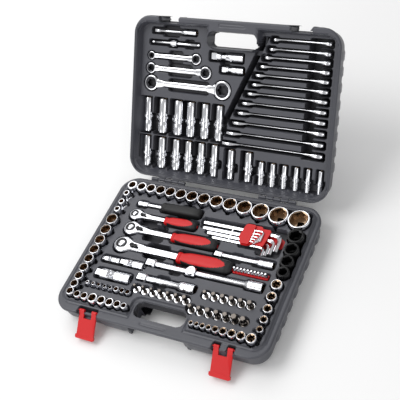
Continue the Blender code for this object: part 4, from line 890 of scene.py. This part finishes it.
class CASE_OT_lid_tools(Build, bpy.types.Operator):
    """Build the deep sockets and wrenches held in the lid"""
    bl_idname = "tool_case.lid_tools"
    bl_label = "Lid tools"

    def execute(self, context):
        f = finishes()
        plated = [f["chrome"], f["bore"]]
        rows = Shape()
        for spec in DEEP_REAR:
            lying(rows, *spec)
        piece("deep_sockets_upper", rows, LID, "lid", plated, ["deep_sockets_rear"])
        rows = Shape()
        for spec in DEEP_FRONT + PLUGS + SMALL_DEEP:
            lying(rows, *spec)
        piece("deep_sockets_lower", rows, LID, "lid", plated, ["deep_sockets_front"])
        rows = Shape()
        for size, u0, s in WRENCHES:
            jaw = min(30.0, 2.15 * size)
            z = LID_DECK - jaw / 2
            eye = 1.55 * size
            t = 3.0 + 0.10 * size
            bar = 0.36 * size
            swept([(u0, s, z, 1.6, eye * 0.2), (u0 + 0.8, s, z, t * 0.8, eye * 0.36),
                   (u0 + eye * 0.3, s, z, t, eye / 2),
                   (u0 + eye * 0.7, s, z, t, eye / 2), (u0 + eye, s + 0.4, z, t * 0.7, eye * 0.34),
                   (u0 + eye * 1.4, s + 0.8, z, 1.5, bar), (184 - jaw, s + 0.8, z, 1.5, bar),
                   (200 - jaw * 0.9, s + 0.4, z, t * 0.7, jaw * 0.34),
                   (200 - jaw * 0.5, s, z, t * 1.15, jaw * 0.5),
                   (200 - jaw * 0.15, s, z, t * 1.2, jaw * 0.46), (199.6, s, z, t * 1.0, jaw * 0.36),
                   (200, s, z, t * 0.5, jaw * 0.3)], 28, 3.2, None, rows)
        piece("wrench_row", rows, LID, "lid", [f["chrome"]], ["combination_wrenches"])
        for name, u0, u1, s, r0, r1, t in RING_WRENCHES:
            body = Shape()
            zt, zb = LID_DECK, LID_DECK - t
            for u, r in ((u0, r0), (u1, r1)):
                turned([(zb, r - 1.2), (zb + 1.0, r), (zt - 1.0, r), (zt - 0.3, r - 0.5), (zt, r - 1.2),
                        (zt, r * 0.8),
                        (zt - 0.6, r * 0.775), (zb, r * 0.775)], 48, True, at(u, s, 0), body)
            n = u1 - u0
            k = t * 0.5
            swept([(u0 + r0 * 0.86, s, zt - k, r0 * 0.62, k * 0.9),
                   (u0 + r0 * 1.3, s, zt - k, r0 * 0.62, k * 0.85),
                   (u0 + r0 * 1.9, s, zt - k, t * 0.62, k * 0.7),
                   (u0 + n * 0.5, s, zt - k, t * 0.7, k * 0.6),
                   (u1 - r1 * 1.9, s, zt - k, t * 0.66, k * 0.7),
                   (u1 - r1 * 1.3, s, zt - k, r1 * 0.6, k * 0.85),
                   (u1 - r1 * 0.86, s, zt - k, r1 * 0.6, k * 0.9)], 32, 3.2, None, body)
            piece(f"ring_wrench_{name}_forging", body, LID, "lid", [f["chrome"]],
                  [f"ring_wrench_{name}_body"])
            for tag, u, r in (("small", u0, r0), ("large", u1, r1)):
                q = r * 0.74
                ring = turned([(zb + 0.5, q), (zt - 0.7, q), (zt - 0.4, q - 0.4), (zt - 0.4, r * 0.6),
                               (zt - 1.0, r * 0.56, "t"),
                               (zb + 0.5, r * 0.56, "t")], 48, True, at(u, s, 0))
                piece(f"ring_{name}_{tag}", ring, LID, f"ring_wrench_{name}_{tag}",
                      [f["steel_dark"]],
                      [f"ring_wrench_{name}_{tag}"])
        return {"FINISHED"}


class CASE_OT_fittings(Build, bpy.types.Operator):
    """Finish the latches, pins, keys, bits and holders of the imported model"""
    bl_idname = "tool_case.fittings"
    bl_label = "Latches and small parts"

    def execute(self, context):
        f = finishes()
        edge = context.scene.tool_case_sizes.edge_radius
        slots = {s["node"]: s["material_slot"] for s in frame["record"]["subparts"]}
        for name, obj in frame["nodes"].items():
            if obj.hide_render:
                continue
            obj.data.materials.clear()
            obj.data.materials.append(f[slots[name]])
            if name.startswith("latch") or name in ("hex_holder", "bit_strip"):
                weld = obj.modifiers.new("weld", "WELD")
                weld.merge_threshold = 0.00001
                add_bevel(obj, edge)
        return {"FINISHED"}


# Studio: name, place, aim point, disk size in metres and power in watts of each light
LIGHTS = (("key", (-1.5, -0.4, 2.6), (0, 0, 0.1), 2.2, 44.0),
          ("fill", (2.2, -1.8, 1.8), (0, 0, 0.1), 1.6, 14.0),
          ("back", (-1.5, 1.9, 2.5), (0, 0.1, 0.1), 2.2, 24.0),
          ("front", (-1.3, -2.5, 1.25), (0, 0.2, 0.2), 1.6, 12.0))
SKY_STRENGTH = 0.5
PAPER = "#f6f6f6"
PAPER_ROUGHNESS = 0.9
SENSOR_WIDTH = 36.0
CAMERA_SHIFT = (-0.0388, -0.0642)
CAMERA_PLACE = (0.69105, -0.69479, 1.2557)
CAMERA_TURN = ((0.89033, -0.14638, 0.43114), (0.38446, 0.74899, -0.53963), (-0.24393, 0.64620, 0.72313))


class CASE_OT_stage(Build, bpy.types.Operator):
    """Add the pale floor, soft studio lights and the camera"""
    bl_idname = "tool_case.stage"
    bl_label = "Stage"

    def execute(self, context):
        size = context.scene.tool_case_sizes
        half = size.floor_size / 2
        mesh = bpy.data.meshes.new("floor")
        mesh.from_pydata([(-half, -half, 0), (half, -half, 0), (half, half, 0), (-half, half, 0)], [],
                         [(0, 1, 2, 3)])
        mat = bpy.data.materials.new("studio_paper")
        mat.use_nodes = True
        shader = mat.node_tree.nodes["Principled BSDF"]
        shader.inputs["Base Color"].default_value = linear(PAPER)
        shader.inputs["Roughness"].default_value = PAPER_ROUGHNESS
        mesh.materials.append(mat)
        floor = bpy.data.objects.new("floor", mesh)
        context.scene.collection.objects.link(floor)
        world = bpy.data.worlds.new("studio")
        world.use_nodes = True
        world.node_tree.nodes["Background"].inputs["Color"].default_value = (1, 1, 1, 1)
        world.node_tree.nodes["Background"].inputs["Strength"].default_value = SKY_STRENGTH
        context.scene.world = world
        for name, spot, aim, side, power in LIGHTS:
            light = bpy.data.lights.new(name, "AREA")
            light.shape = "DISK"
            light.size = side
            light.energy = power
            obj = bpy.data.objects.new(name, light)
            obj.location = spot
            obj.rotation_euler = (Vector(aim) - Vector(spot)).to_track_quat("-Z", "Y").to_euler()
            context.scene.collection.objects.link(obj)
        cam = bpy.data.cameras.new("camera")
        cam.lens = size.camera_lens
        cam.sensor_width = SENSOR_WIDTH
        cam.shift_x, cam.shift_y = CAMERA_SHIFT
        obj = bpy.data.objects.new("camera", cam)
        obj.matrix_world = Matrix.Translation(Vector(CAMERA_PLACE)) @ Matrix(CAMERA_TURN).to_4x4()
        context.scene.collection.objects.link(obj)
        context.scene.camera = obj
        context.scene.view_settings.view_transform = "Standard"
        return {"FINISHED"}


STEPS = ("halves", "sockets", "ratchets", "bars", "lid_tools", "fittings", "stage")


class CASE_PT_panel(bpy.types.Panel):
    """Lists the steps in the order they run"""
    bl_label = "Tool case"
    bl_idname = "CASE_PT_panel"
    bl_space_type = "VIEW_3D"
    bl_region_type = "UI"
    bl_category = "Tool case"

    def draw(self, context):
        for step in STEPS:
            self.layout.operator("tool_case." + step)
        for group in (context.scene.tool_case_sizes, context.scene.tool_case_colours):
            for key in group.__annotations__:
                self.layout.prop(group, key)


CLASSES = (Sizes, Colours, CASE_OT_halves, CASE_OT_sockets, CASE_OT_ratchets, CASE_OT_bars,
           CASE_OT_lid_tools,
           CASE_OT_fittings, CASE_OT_stage, CASE_PT_panel)


def register():
    for made in CLASSES:
        bpy.utils.register_class(made)
    bpy.types.Scene.tool_case_sizes = bpy.props.PointerProperty(type=Sizes)
    bpy.types.Scene.tool_case_colours = bpy.props.PointerProperty(type=Colours)


def unregister():
    for made in reversed(CLASSES):
        bpy.utils.unregister_class(made)
    del bpy.types.Scene.tool_case_sizes
    del bpy.types.Scene.tool_case_colours


def main():
    register()
    for step in STEPS:
        getattr(bpy.ops.tool_case, step)()


if __name__ == "__main__":
    main()
